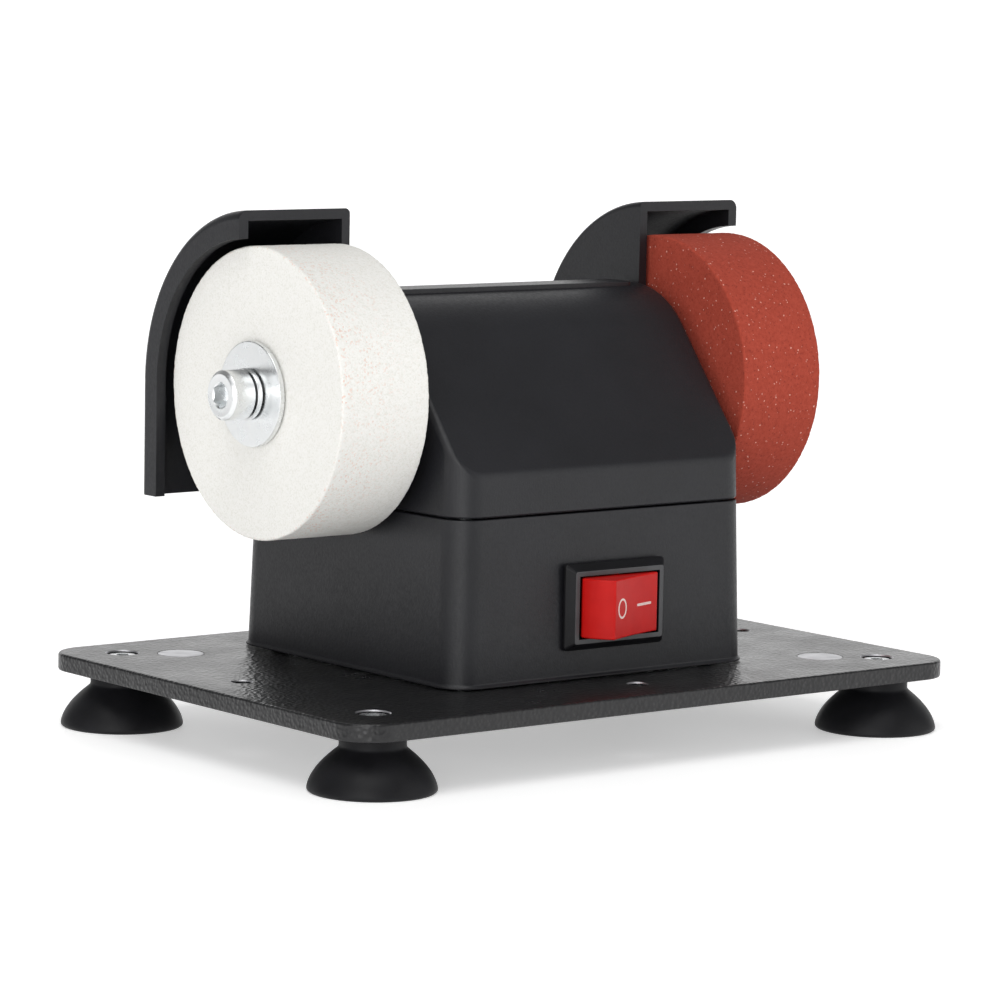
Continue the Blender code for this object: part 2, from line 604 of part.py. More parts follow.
def build_guards():
    band_r = GUARD_R - GUARD_BAND
    for side in (-1, 1):
        tag = "left" if side < 0 else "right"
        x0, x1 = GUARD_IN, GUARD_OUT

        def slab(name, outline, a, b, s=side):
            lo, hi = sorted((s * a, s * b))
            return prism(name, outline, lo, hi, None, CUTTERS, ALONG_X)

        guard = stack("guard_" + tag, guard_levels(side), PLASTIC, PARTS, ALONG_X)
        room = guard_outline(band_r, GUARD_FRONT - 6 * MM, GUARD_DOWN + 6 * MM)
        cut(guard, slab("cut_guard_room_" + tag, room, x0 + GUARD_INNER_T, x1 - GUARD_LIP_T))
        lip = guard_outline(GUARD_R - GUARD_LIP, GUARD_FRONT - 6 * MM, GUARD_DOWN + 6 * MM)
        cut(guard, slab("cut_guard_lip_" + tag, lip, x1 - GUARD_LIP_T - SINK, x1 + SINK))
        cut(guard, cyl("cut_guard_notch_" + tag, GUARD_NOTCH_R, x0 - SINK, x0 + GUARD_INNER_T + SINK, 40,
                       place=on_shaft(0, side)))
        # countersunk screws, their heads level with the wall inside the guard
        face = x0 + GUARD_INNER_T
        cone = face - (GUARD_HEAD_R - GUARD_SCREW_R)
        tip = face - GUARD_SCREW_LEN
        screw = [(0.0, face - 0.1 * MM), (GUARD_HEAD_R - 0.1 * MM, face - 0.1 * MM), (GUARD_SCREW_R, cone),
                 (GUARD_SCREW_R, tip), (0.0, tip)]
        sink = [(0.0, face + SINK), (GUARD_HEAD_R + MATE + SINK, face + SINK), (GUARD_SCREW_R + MATE, cone - MATE),
                (GUARD_SCREW_R + MATE, x0 - SINK), (0.0, x0 - SINK)]
        for k, (dy, dz) in enumerate(GUARD_SCREWS):
            spot = at(0, dy, dz) @ on_shaft(0, side)
            cut(guard, turned("cut_sink_%s_%d" % (tag, k), sink, 16, where=CUTTERS, place=spot))
            made = turned("guard_screw_%s_%s" % (tag, ("lower", "upper")[k]), screw, 16, BLACK_STEEL, place=spot)
            cut(made, prism("cut_drive_%s_%d" % (tag, k), ring(0.8 * MM, 6), face - 0.8 * MM, face + SINK,
                            where=CUTTERS, place=spot))


# ---- motor ------------------------------------------------------------------------------------
def build_motor():
    inner = CAN_R - CAN_T
    bush_hole = BUSH_R + MATE
    can = [(CAN_R, HALF_CAN - 0.8 * MM), (CAN_R, -HALF_CAN), (inner, -HALF_CAN), (inner, HALF_CAN - CAN_T),
           (bush_hole, HALF_CAN - CAN_T), (bush_hole, HALF_CAN + CAN_BOSS_L),
           (CAN_BOSS_R, HALF_CAN + CAN_BOSS_L), (CAN_BOSS_R, HALF_CAN), (CAN_R - 0.8 * MM, HALF_CAN)]
    smooth_can = turned("motor_can", can, 28, CAN_METAL, place=on_shaft(0))
    cap_r = inner - MATE
    out = HALF_CAN
    cap = [(cap_r, out - CAP_T), (bush_hole, out - CAP_T), (bush_hole, out + CAN_BOSS_L),
           (CAN_BOSS_R, out + CAN_BOSS_L), (CAN_BOSS_R, out), (cap_r, out)]
    cap_obj = turned("motor_end_cap", list(reversed(cap)), 24, CAP_WHITE, place=on_shaft(0, -1))
    bush0 = HALF_CAN + CAN_BOSS_L - BUSH_L
    bush = [(BUSH_R, bush0 + BUSH_L), (BUSH_R, bush0), (SHAFT_R + MATE, bush0), (SHAFT_R + MATE, bush0 + BUSH_L)]
    turned("bushing_left", bush, 20, BRASS, place=on_shaft(0, -1))
    turned("bushing_right", bush, 20, BRASS, place=on_shaft(0, 1))
    mag_out, mag_in = inner - MATE, inner - MATE - MAGNET_T
    for k, side in enumerate((-1, 1)):
        mid = 90.0 * side
        outline = arc(mag_out, mid - MAGNET_SPAN / 2, mid + MAGNET_SPAN / 2, 14)
        outline += arc(mag_in, mid + MAGNET_SPAN / 2, mid - MAGNET_SPAN / 2, 14)
        prism("magnet_" + ("front", "rear")[k], [(y, z) for z, y in outline], MAGNET_X0,
              MAGNET_X1, FERRITE, place=at(0, AXIS.y, AXIS.z) @ ALONG_X)
    for k, side in enumerate((-1, 1)):
        y0 = side * (COMM_R + MATE)
        y1 = side * (COMM_R + MATE + BRUSH_L)
        lo, hi = sorted((y0, y1))
        x = -(HALF_CAN - CAP_T - COMM_BACK - COMM_L / 2)
        prism("brush_" + ("front", "rear")[k], rect(x - BRUSH_W / 2, x + BRUSH_W / 2, lo, hi), -BRUSH_W / 2,
              BRUSH_W / 2, CARBON, place=Matrix.Translation(AXIS))
    tab_in = HALF_CAN - CAP_T - 0.6 * MM
    for k, side in enumerate((-1, 1)):
        z = side * TAB_Z
        slot = rect(-TAB_W / 2 - MATE, TAB_W / 2 + MATE, z - TAB_T / 2 - MATE, z + TAB_T / 2 + MATE)
        tab = rect(-TAB_W / 2, TAB_W / 2, z - TAB_T / 2, z + TAB_T / 2)
        cut(cap_obj, prism("cut_tab_%d" % k, slot, -HALF_CAN - SINK, -HALF_CAN + CAP_T + SINK, where=CUTTERS,
                           place=at(0, AXIS.y, AXIS.z) @ ALONG_X))
        prism("motor_tab_" + ("lower", "upper")[k], tab, -HALF_CAN - TAB_OUT, -tab_in, BRASS,
              place=at(0, AXIS.y, AXIS.z) @ ALONG_X)
    return smooth_can, mag_in


def build_rotor(mag_in):
    core_r = mag_in - AIR_GAP
    shoe_in = core_r - SHOE_T
    half_neck = NECK_W / 2
    place = at(0, AXIS.y, AXIS.z) @ ALONG_X
    x0, x1 = CORE_X0, CORE_X1
    outline = []
    for k in range(POLES):
        mid = 90.0 + 360.0 * k / POLES
        neck_hub = math.degrees(math.asin(half_neck / HUB_R))
        neck_shoe = math.degrees(math.asin(half_neck / shoe_in))
        outline += arc(HUB_R, mid - 180.0 / POLES + 2.0, mid - neck_hub, 3)
        outline += arc(shoe_in, mid - neck_shoe, mid - SHOE_SPAN / 2, 5)
        outline += arc(core_r, mid - SHOE_SPAN / 2, mid + SHOE_SPAN / 2, 12)
        outline += arc(shoe_in, mid + SHOE_SPAN / 2, mid + neck_shoe, 5)
        outline += arc(HUB_R, mid + neck_hub, mid + 180.0 / POLES - 2.0, 3)
    core = prism("rotor_core", outline, x0, x1, STEEL, place=place)
    cut(core, cyl("cut_core_bore", SHAFT_R + MATE, x0 - SINK, x1 + SINK, 20, place=on_shaft(0)))
    a, b = half_neck + MATE, CORE_L / 2 + MATE
    r0 = HUB_R + MATE
    r1 = math.sqrt(shoe_in ** 2 - (a + COIL_T) ** 2) - MATE      # clear of the curved shoe
    for k in range(POLES):
        turn = at(CORE_X, AXIS.y, AXIS.z) @ Matrix.Rotation(2 * math.pi * k / POLES, 4, "X")
        outer = rounded_rect(b + COIL_T, a + COIL_T, COIL_T, 3)
        coil = prism("winding_%d" % (k + 1), outer, r0, r1, COPPER, place=turn)
        cut(coil, prism("cut_winding_%d" % k, rect(-b, b, -a, a), r0 - SINK, r1 + SINK, where=CUTTERS,
                        place=turn))
    comm0 = HALF_CAN - CAP_T - COMM_BACK - COMM_L
    comm = [(COMM_R, comm0 + COMM_L), (COMM_R, comm0), (SHAFT_R + MATE, comm0), (SHAFT_R + MATE, comm0 + COMM_L)]
    turned("commutator", comm, 24, COPPER, place=on_shaft(0, -1))
    cham = 0.3 * MM
    rod = [(0.0, SHAFT_END), (SHAFT_R - cham, SHAFT_END), (SHAFT_R, SHAFT_END - cham),
           (SHAFT_R, cham - SHAFT_END), (SHAFT_R - cham, -SHAFT_END), (0.0, -SHAFT_END)]
    turned("motor_shaft", rod, 20, STEEL, place=on_shaft(0))


# ---- arbors, wheels and hardware --------------------------------------------------------------
def build_wheels():
    bore = SHAFT_R + MATE
    bore_end = SHAFT_END + MATE
    grip0 = ARBOR_STEP - ARBOR_GRIP
    spigot_end = WHEEL_OUT - MATE
    tap_r = BOLT_R + MATE
    tap_end = HEAD_X - BOLT_LEN - MATE
    arbor = [(SPIGOT_R, spigot_end), (SPIGOT_R, ARBOR_STEP), (ARBOR_R, ARBOR_STEP), (ARBOR_R, grip0),
             (bore, grip0), (bore, bore_end), (0.0, bore_end), (0.0, tap_end), (tap_r, tap_end),
             (tap_r, spigot_end)]
    hole = SPIGOT_R + MATE
    flange = [(FLANGE_R, FLANGE_X + FLANGE_T), (FLANGE_R, FLANGE_X), (hole, FLANGE_X), (hole, FLANGE_X + FLANGE_T)]
    e = WHEEL_EDGE
    wheel = [(WHEEL_R - e, WHEEL_OUT), (WHEEL_R, WHEEL_OUT - e), (WHEEL_R, WHEEL_IN + e),
             (WHEEL_R - e, WHEEL_IN), (WHEEL_BORE_R, WHEEL_IN), (WHEEL_BORE_R, WHEEL_OUT)]
    washer = [(FLANGE_R, WASHER_X + WASHER_T), (FLANGE_R, WASHER_X), (tap_r, WASHER_X),
              (tap_r, WASHER_X + WASHER_T)]
    lock = [(LOCK_R, LOCK_X + LOCK_T), (LOCK_R, LOCK_X), (tap_r, LOCK_X), (tap_r, LOCK_X + LOCK_T)]
    c = 0.35 * MM
    head = HEAD_X + BOLT_HEAD_H
    bolt = [(0.0, head), (BOLT_HEAD_R - c, head), (BOLT_HEAD_R, head - c), (BOLT_HEAD_R, HEAD_X),
            (BOLT_R, HEAD_X), (BOLT_R, HEAD_X - BOLT_LEN), (0.0, HEAD_X - BOLT_LEN)]
    for side, tag, grit in ((-1, "left", WHITE_GRIT), (1, "right", RED_GRIT)):
        place = on_shaft(0, side)
        turned("arbor_" + tag, arbor, 20, STEEL, place=place)
        turned("inner_flange_" + tag, flange, 28, ZINC, place=place)
        turned("grinding_wheel_" + tag, wheel, 48, grit, place=place)
        turned("outer_washer_" + tag, washer, 32, ZINC, place=place)
        split = turned("lock_washer_" + tag, lock, 24, ZINC, place=place)
        skew = Matrix.Rotation(math.radians(25.0), 4, "Y")
        cut(split, prism("cut_slit_" + tag, rect(-LOCK_SLIT / 2, LOCK_SLIT / 2, 0.0, 2 * LOCK_R), -3 * LOCK_T,
                         3 * LOCK_T, where=CUTTERS, place=place @ at(0, 0, LOCK_X + LOCK_T / 2) @ skew))
        screw = turned("wheel_bolt_" + tag, bolt, 20, ZINC, place=place)
        hexa = ring(BOLT_HEX / math.sqrt(3), 6)
        cut(screw, prism("cut_hex_" + tag, hexa, head - BOLT_HEX_DEPTH, head + SINK, where=CUTTERS, place=place))


# ---- switch and inlet -------------------------------------------------------------------------
def build_switch():
    z = PLATE_TOP + SWITCH_UP
    face = HOUSING_Y - wall_at(z - BEZEL_H / 2)[1] - MATE      # back of the bezel, just off the wall
    front = face - BEZEL_T
    pivot = Vector((SWITCH_X, front + ROCKER_IN, z))
    place = at(SWITCH_X, 0, z) @ ALONG_Y             # local z is -Y
    hl, hh, b = BEZEL_L / 2, BEZEL_H / 2, BEZEL_BEVEL
    base = rounded_rect(hl, hh, 0.6 * MM, 3)
    top = rounded_rect(hl - b, hh - b, 0.4 * MM, 3)
    body = stack("switch_body", [(base, -face), (base, -face + 0.5 * MM), (top, -front)], SWITCH_BLACK,
                 place=place)
    can = rounded_rect(SWITCH_BODY_L / 2, SWITCH_BODY_H / 2, 0.5 * MM, 2)
    boolean(body, prism("switch_can", can, -face - SWITCH_BODY_D, -face + 0.2 * MM, where=CUTTERS, place=place),
            "UNION")
    room_r = ROCKER_R + MATE
    floor = SWITCH_BODY_D - 1.5 * MM
    cut(body, prism("cut_switch_room", rect(-room_r, room_r, -ROCKER_H / 2 - MATE, ROCKER_H / 2 + MATE),
                    -face - floor, -front + SINK, where=CUTTERS, place=place))
    pin = ROCKER_H / 2 + MATE + ROCKER_PIN_L
    cut(body, cyl("cut_pin_room", ROCKER_PIN_R + MATE, -pin, pin, 16, place=Matrix.Translation(pivot)))
    for k, side in enumerate((-1, 1)):
        slot = rect(side * SPADE_X - SPADE_T / 2 - MATE, side * SPADE_X + SPADE_T / 2 + MATE,
                    -SPADE_W / 2 - MATE, SPADE_W / 2 + MATE)
        spade = rect(side * SPADE_X - SPADE_T / 2, side * SPADE_X + SPADE_T / 2, -SPADE_W / 2, SPADE_W / 2)
        back = -face - SWITCH_BODY_D
        cut(body, prism("cut_spade_%d" % k, slot, back - SINK, back + 3 * MM, where=CUTTERS, place=place))
        prism("switch_spade_" + ("left", "right")[k], spade, back - SPADE_L, back + 1.2 * MM, BRASS,
              place=place)
    # rocker: a drum about its pivot with the finger face cut across it
    half = ROCKER_FACE / 2
    depth = math.sqrt(ROCKER_R ** 2 - half ** 2)
    end = math.degrees(math.atan2(-depth, half))
    outline = [(-half, -depth), (0.0, -depth + ROCKER_DIP), (half, -depth)]
    outline += arc(ROCKER_R, end, 8.0, 8)[1:]
    outline += [(2.4 * MM, 5.6 * MM), (-2.4 * MM, 5.6 * MM)]
    outline += arc(ROCKER_R, 172.0, 180.0 - end, 8)[:-1]
    empty = bpy.data.objects.new("rocker_pivot", None)
    PARTS.objects.link(empty)
    empty.location = pivot
    rocker = prism("switch_rocker", outline, -ROCKER_H / 2, ROCKER_H / 2, RED_GLOSS)
    boolean(rocker, cyl("rocker_pins", ROCKER_PIN_R, -pin + MATE, pin - MATE, 12,
                        place=Matrix.Translation(pivot)), "UNION")
    rocker.parent = empty
    rocker.rotation_euler = (0.0, 0.0, math.radians(ROCKER_TILT))
    return z, face


def build_inlet():
    z = PLATE_TOP + JACK_UP
    rear = HOUSING_Y + wall_at(z - JACK_FLANGE_R)[1]
    place = at(JACK_X, 0, z) @ ALONG_Y @ Matrix.Rotation(math.pi, 4, "X")   # local z is +Y
    out = rear + MATE + JACK_FLANGE_T
    back = rear + MATE - JACK_L
    floor = out - JACK_BORE_D
    jack = [(JACK_FLANGE_R, out), (JACK_FLANGE_R, rear + MATE), (JACK_R, rear + MATE), (JACK_R, back),
            (0.0, back), (0.0, out - 0.6 * MM), (JACK_PIN_R, out - 0.6 * MM), (JACK_PIN_R, floor),
            (JACK_BORE_R, floor), (JACK_BORE_R, out)]
    turned("dc_inlet", jack, 20, SWITCH_BLACK, place=place)
    nut0 = rear - WALL - JACK_NUT_T - 0.9 * MM
    nut = prism("inlet_nut", ring(JACK_NUT_AF / math.sqrt(3), 6), nut0, nut0 + JACK_NUT_T, STEEL, place=place)
    cut(nut, cyl("cut_nut_bore", JACK_R + MATE, nut0 - SINK, nut0 + JACK_NUT_T + SINK, 24, place=place))
    return back, z


def wire(name, points, mat):
    """A lead through smooth points, made as a closed mesh from a round curve."""
    curve = bpy.data.curves.new(name, "CURVE")
    curve.dimensions = "3D"
    curve.bevel_depth = WIRE_R
    curve.bevel_resolution = 2
    curve.use_fill_caps = True
    dense = []
    p = [Vector(points[0])] + [Vector(q) for q in points] + [Vector(points[-1])]
    for i in range(1, len(p) - 2):
        for k in range(4):
            t = k / 4
            dense.append(0.5 * ((2 * p[i]) + (p[i + 1] - p[i - 1]) * t
                                + (2 * p[i - 1] - 5 * p[i] + 4 * p[i + 1] - p[i + 2]) * t * t
                                + (3 * p[i] - p[i - 1] - 3 * p[i + 1] + p[i + 2]) * t * t * t))
    dense.append(p[-1])
    spline = curve.splines.new("POLY")
    spline.points.add(len(dense) - 1)
    for point, co in zip(spline.points, dense):
        point.co = (*co, 1.0)
    tube = bpy.data.objects.new(name + "_curve", curve)
    bpy.context.scene.collection.objects.link(tube)
    bpy.context.view_layer.update()
    mesh = bpy.data.meshes.new_from_object(tube.evaluated_get(bpy.context.evaluated_depsgraph_get()))
    bpy.data.objects.remove(tube, do_unlink=True)
    bm = bmesh.new()
    bm.from_mesh(mesh)
    bpy.data.meshes.remove(mesh)
    bm.transform(Matrix.Identity(4))
    return finish(name, bm, mat)


def build_leads(switch_z, face, jack_back, jack_z):
    tab_x = -(HALF_CAN + TAB_OUT + WIRE_R + MATE)
    low_z, high_z = AXIS.z - TAB_Z, AXIS.z + TAB_Z
    y = SHAFT_Y
    jb = jack_back - WIRE_R - MATE
    room = PLATE_TOP + FLOOR + 3 * MM
    clear = min(face + SWITCH_BODY_D + SPADE_L - 1.9 * MM,    # beside the ends of the spades
                SHAFT_Y - SADDLE_W / 2 - WIRE_R - 2.0 * MM)   # and in front of the motor saddles
    side_x = SADDLE_X + SADDLE_T / 2 + WIRE_R + 2.5 * MM      # outboard of them
    side_gap = SPADE_T / 2 + MATE                             # a lead ends against the side of its spade
    left, right = SWITCH_X - SPADE_X - side_gap, SWITCH_X + SPADE_X + side_gap
    wire("lead_switch_motor", [(left, clear, switch_z), (left - 2.5 * MM, clear, switch_z),
         (-SADDLE_X, clear, switch_z + 3 * MM),
         (-side_x - 1 * MM, clear + 3 * MM, switch_z + 8 * MM), (tab_x, y - 4 * MM, low_z - 9 * MM),
         (tab_x, y, low_z)], WIRE_RED)
    wire("lead_inlet_switch", [(JACK_X, jb, jack_z + 1.5 * MM), (side_x, jb - 5 * MM, room + 7 * MM),
         (side_x, y, room + 5 * MM), (side_x - 0.5 * MM, clear + 4 * MM, room + 5 * MM),
         (SADDLE_X, clear, switch_z - 2 * MM), (right + 2.5 * MM, clear, switch_z), (right, clear, switch_z)],
         WIRE_RED)
    wire("lead_inlet_motor", [(JACK_X - 2.4 * MM, jb, jack_z - 1.8 * MM), (JACK_X - 8 * MM, jb - 2 * MM, room + 2 * MM),
         (-4 * MM, y + 18 * MM, room + 2 * MM), (tab_x + 2 * MM, y + 17 * MM, room + 9 * MM),
         (tab_x + 0.6 * MM, y + 15 * MM, low_z - 2 * MM), (tab_x + 0.2 * MM, y + 8 * MM, high_z - 5 * MM),
         (tab_x, y, high_z)], WIRE_BLACK)


build_base()
build_feet()
build_lower()
build_upper()
build_case_screws()
build_guards()
_, MAGNET_FACE = build_motor()
build_rotor(MAGNET_FACE)
build_wheels()
SWITCH_Z, SWITCH_FACE = build_switch()
JACK_BACK, JACK_Z = build_inlet()
build_leads(SWITCH_Z, SWITCH_FACE, JACK_BACK, JACK_Z)
for made in PARTS.objects:
    if made.type == "MESH":
        smooth(made)
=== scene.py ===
"""Mini bench grinder: the detailed pieces, finishes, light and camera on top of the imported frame.

Same frame as the CAD: metres, X along the motor shaft, -Y the switch side, +Z up.
"""

import math

import bmesh
import bpy
from mathutils import Matrix, Vector, noise


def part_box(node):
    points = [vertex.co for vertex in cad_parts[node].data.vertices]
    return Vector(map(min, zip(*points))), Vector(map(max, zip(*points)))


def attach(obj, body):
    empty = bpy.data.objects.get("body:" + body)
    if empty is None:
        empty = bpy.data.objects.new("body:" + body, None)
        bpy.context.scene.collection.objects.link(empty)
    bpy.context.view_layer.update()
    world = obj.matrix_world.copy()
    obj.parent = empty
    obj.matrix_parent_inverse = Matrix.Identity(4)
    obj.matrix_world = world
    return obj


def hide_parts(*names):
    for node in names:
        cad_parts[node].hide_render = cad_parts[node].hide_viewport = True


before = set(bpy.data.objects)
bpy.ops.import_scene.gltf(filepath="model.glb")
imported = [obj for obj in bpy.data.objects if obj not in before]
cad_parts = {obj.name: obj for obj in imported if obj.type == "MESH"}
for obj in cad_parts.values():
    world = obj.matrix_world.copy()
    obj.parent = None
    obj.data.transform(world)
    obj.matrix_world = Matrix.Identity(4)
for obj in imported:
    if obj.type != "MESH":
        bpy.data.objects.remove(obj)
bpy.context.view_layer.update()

MM = 0.001
TINY = 1e-9
scene = bpy.context.scene
CUTTERS = bpy.data.collections.new("cutters")
scene.collection.children.link(CUTTERS)


def middle(node):
    lo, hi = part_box(node)
    return (lo + hi) / 2


def half(node):
    lo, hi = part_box(node)
    return (hi - lo) / 2


AXIS = middle("motor_shaft")          # a point on the shaft's centre line
AXIS.x = 0.0


# ---- materials ----------------------------------------------------------------------------------
class Finish:
    """A Principled material whose colour, roughness and relief come from patterns in object space."""

    def __init__(self, name, metallic=0.0, specular=0.5):
        self.mat = bpy.data.materials.new(name)
        self.mat.use_nodes = True
        self.tree = self.mat.node_tree
        self.bsdf = self.tree.nodes["Principled BSDF"]
        self.bsdf.inputs["Metallic"].default_value = metallic
        self.bsdf.inputs["Specular IOR Level"].default_value = specular
        self.where = self.node("ShaderNodeTexCoord").outputs["Object"]
        self.relief = None

    def node(self, kind, **settings):
        made = self.tree.nodes.new(kind)
        for key, value in settings.items():
            setattr(made, key, value)
        return made

    def link(self, out, into):
        self.tree.links.new(out, into)

    def noise(self, size_mm, detail=3.0, rough=0.5, where=None):
        made = self.node("ShaderNodeTexNoise")
        made.inputs["Scale"].default_value = 1.0 / (size_mm * MM)
        made.inputs["Detail"].default_value = detail
        made.inputs["Roughness"].default_value = rough
        self.link(where or self.where, made.inputs["Vector"])
        return made.outputs["Fac"]

    def cells(self, size_mm, feature="F1", out="Distance", smooth=None):
        made = self.node("ShaderNodeTexVoronoi", feature=feature)
        made.inputs["Scale"].default_value = 1.0 / (size_mm * MM)
        if smooth is not None:
            made.inputs["Smoothness"].default_value = smooth
        self.link(self.where, made.inputs["Vector"])
        return made.outputs[out]

    def channel(self, colour):
        made = self.node("ShaderNodeSeparateColor")
        self.link(colour, made.inputs["Color"])
        return made.outputs["Red"]

    def ramp(self, fac, *stops):
        """stops are (place, grey or colour)."""
        made = self.node("ShaderNodeValToRGB")
        marks = made.color_ramp.elements
        while len(marks) < len(stops):
            marks.new(0.5)
        for mark, (place, value) in zip(marks, stops):
            mark.position = place
            mark.color = (value, value, value, 1.0) if isinstance(value, float) else (*value, 1.0)
        self.link(fac, made.inputs["Fac"])
        return made.outputs["Color"]

    def mix(self, fac, a, b):
        made = self.node("ShaderNodeMix", data_type="RGBA")
        for value, place in ((fac, 0), (a, 6), (b, 7)):
            if isinstance(value, tuple):
                made.inputs[place].default_value = (*value, 1.0)
            else:
                self.link(value, made.inputs[place])
        return made.outputs[2]

    def math(self, operation, a, b=0.0):
        made = self.node("ShaderNodeMath", operation=operation)
        for value, place in ((a, 0), (b, 1)):
            if isinstance(value, (int, float)):
                made.inputs[place].default_value = value
            else:
                self.link(value, made.inputs[place])
        return made.outputs[0]

    def off_axis(self):
        """Distance from the shaft's centre line."""
        apart = self.node("ShaderNodeSeparateXYZ")
        self.link(self.where, apart.inputs[0])
        y = self.math("SUBTRACT", apart.outputs["Y"], AXIS.y)
        z = self.math("SUBTRACT", apart.outputs["Z"], AXIS.z)
        squares = self.math("ADD", self.math("MULTIPLY", y, y), self.math("MULTIPLY", z, z))
        return self.math("SQRT", squares)

    def inward(self, lo, hi):
        """0 at lo.x to 1 at hi.x."""
        apart = self.node("ShaderNodeSeparateXYZ")
        self.link(self.where, apart.inputs[0])
        return self.math("DIVIDE", self.math("SUBTRACT", apart.outputs["X"], lo.x), hi.x - lo.x)

    def stretched(self, x, y, z):
        made = self.node("ShaderNodeMapping")
        made.inputs["Scale"].default_value = (x, y, z)
        self.link(self.where, made.inputs["Vector"])
        return made.outputs["Vector"]

    def colour(self, out):
        self.link(out, self.bsdf.inputs["Base Color"])
        return self

    def rough(self, fac, low, high):
        self.link(self.ramp(fac, (0.25, low), (0.75, high)), self.bsdf.inputs["Roughness"])
        return self

    def bump(self, height, depth_mm, strength=1.0):
        made = self.node("ShaderNodeBump")
        made.inputs["Strength"].default_value = strength
        made.inputs["Distance"].default_value = depth_mm * MM
        self.link(height, made.inputs["Height"])
        if self.relief is not None:
            self.link(self.relief, made.inputs["Normal"])
        self.relief = made.outputs["Normal"]
        self.link(self.relief, self.bsdf.inputs["Normal"])
        return self


def black_plastic():
    f = Finish("satin_black_plastic", specular=0.42)
    cloud = f.noise(14.0, 2.0)
    f.colour(f.ramp(cloud, (0.3, (0.0092, 0.0094, 0.0118)), (0.7, (0.0122, 0.0125, 0.0155))))
    f.rough(f.noise(0.55, 4.0), 0.34, 0.52)
    return f.bump(f.noise(0.42, 3.0), 0.035, 0.8).mat


def plate_black():
    f = Finish("pebbled_black_plate", specular=0.5)
    pebble = f.cells(0.75, "SMOOTH_F1", smooth=0.45)
    patch = f.noise(9.0, 3.0)
    f.colour(f.mix(f.ramp(pebble, (0.15, 0.0), (0.75, 1.0)), (0.012, 0.012, 0.013), (0.008, 0.008, 0.009)))
    f.rough(patch, 0.26, 0.38)
    return f.bump(pebble, 0.15, 0.9).bump(f.noise(0.3, 3.0), 0.02, 0.6).mat


def rubber():
    f = Finish("black_rubber", specular=0.22)
    dust = f.noise(5.0, 5.0, 0.6)
    f.colour(f.ramp(dust, (0.35, (0.0062, 0.0062, 0.0075)), (0.75, (0.0100, 0.0100, 0.0120))))
    f.rough(dust, 0.42, 0.58)
    return f.bump(f.noise(0.2, 3.0), 0.012, 0.6).mat


def zinc():
    f = Finish("bright_zinc", metallic=1.0)
    cloud = f.noise(3.0, 4.0, 0.6)
    f.colour(f.ramp(cloud, (0.3, (0.78, 0.80, 0.81)), (0.7, (0.88, 0.89, 0.89))))
    line = f.node("ShaderNodeTexNoise", noise_dimensions="1D")
    line.inputs["Scale"].default_value = 1.0 / (0.12 * MM)
    f.link(f.off_axis(), line.inputs["W"])
    f.rough(cloud, 0.22, 0.36)
    return f.bump(line.outputs["Fac"], 0.006, 0.5).bump(f.noise(0.3, 2.0), 0.006, 0.4).mat


def dull_steel():
    f = Finish("plain_steel", metallic=1.0)
    grain = f.noise(0.5, 4.0, 0.6, where=f.stretched(0.12, 1.0, 1.0))
    f.colour(f.ramp(grain, (0.3, (0.40, 0.40, 0.42)), (0.7, (0.55, 0.55, 0.57))))
    f.rough(f.noise(3.0, 3.0), 0.34, 0.5)
    return f.bump(grain, 0.008, 0.5).mat


def white_grit():
    f = Finish("white_abrasive", specular=0.25)
    grain = f.channel(f.cells(0.26, out="Color"))
    base = f.ramp(grain, (0.0, (0.80, 0.79, 0.74)), (0.30, (0.86, 0.85, 0.81)), (1.0, (0.90, 0.89, 0.86)))
    fleck = f.ramp(f.channel(f.cells(0.30, out="Color")), (0.84, 0.0), (0.93, 1.0))
    lo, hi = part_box("grinding_wheel_left")
    spread = 20.0                               # brings the wheel's radius to the middle of a ramp
    rim = (hi.z - AXIS.z) * spread
    band = f.ramp(f.math("MULTIPLY", f.off_axis(), spread), (rim - 0.012, 0.0), (rim - 0.003, 1.0))
    worn = f.math("MULTIPLY", fleck, band)      # dust from use, on the rim beside the outer face
    worn = f.math("MULTIPLY", worn, f.ramp(f.inward(lo, hi), (0.0, 0.75), (0.35, 0.45), (0.8, 0.08)))
    worn = f.math("MULTIPLY", worn, f.ramp(f.noise(6.0, 3.0), (0.35, 0.25), (0.60, 1.0)))
    f.colour(f.mix(worn, base, (0.80, 0.55, 0.45)))
    f.rough(grain, 0.85, 1.0)
    return f.bump(f.cells(0.26), 0.04, 0.5).bump(f.noise(0.6, 5.0, 0.65), 0.06, 0.5).mat


def red_grit():
    f = Finish("red_abrasive", specular=0.3)
    pick = f.channel(f.cells(0.24, out="Color"))
    body = f.ramp(f.noise(0.7, 5.0, 0.7), (0.3, (0.33, 0.044, 0.024)), (0.7, (0.44, 0.070, 0.042)))
    body = f.mix(f.ramp(pick, (0.02, 0.6), (0.12, 0.0)), body, (0.20, 0.028, 0.018))
    glint = f.ramp(pick, (0.988, 0.0), (0.998, 0.8))
    f.colour(f.mix(glint, body, (0.80, 0.46, 0.38)))
    f.rough(f.math("SUBTRACT", 1.0, glint), 0.35, 0.95)
    return f.bump(f.cells(0.24), 0.05, 0.5).bump(f.noise(0.6, 5.0, 0.65), 0.08, 0.5).mat


def gloss_plastic(name, low, high, rough, specular=0.5):
    f = Finish(name, specular=specular)
    cloud = f.noise(4.0, 2.0)
    f.colour(f.ramp(cloud, (0.3, low), (0.7, high)))
    f.rough(f.noise(1.5, 4.0), *rough)
    return f.bump(f.noise(0.5, 2.0), 0.004, 0.5).mat


def metal(name, low, high, rough, grain_mm=0.6):
    f = Finish(name, metallic=1.0)
    grain = f.noise(grain_mm, 4.0, 0.6)
    f.colour(f.ramp(grain, (0.3, low), (0.7, high)))
    f.rough(f.noise(2.0, 3.0), *rough)
    return f.bump(grain, 0.006, 0.5).mat


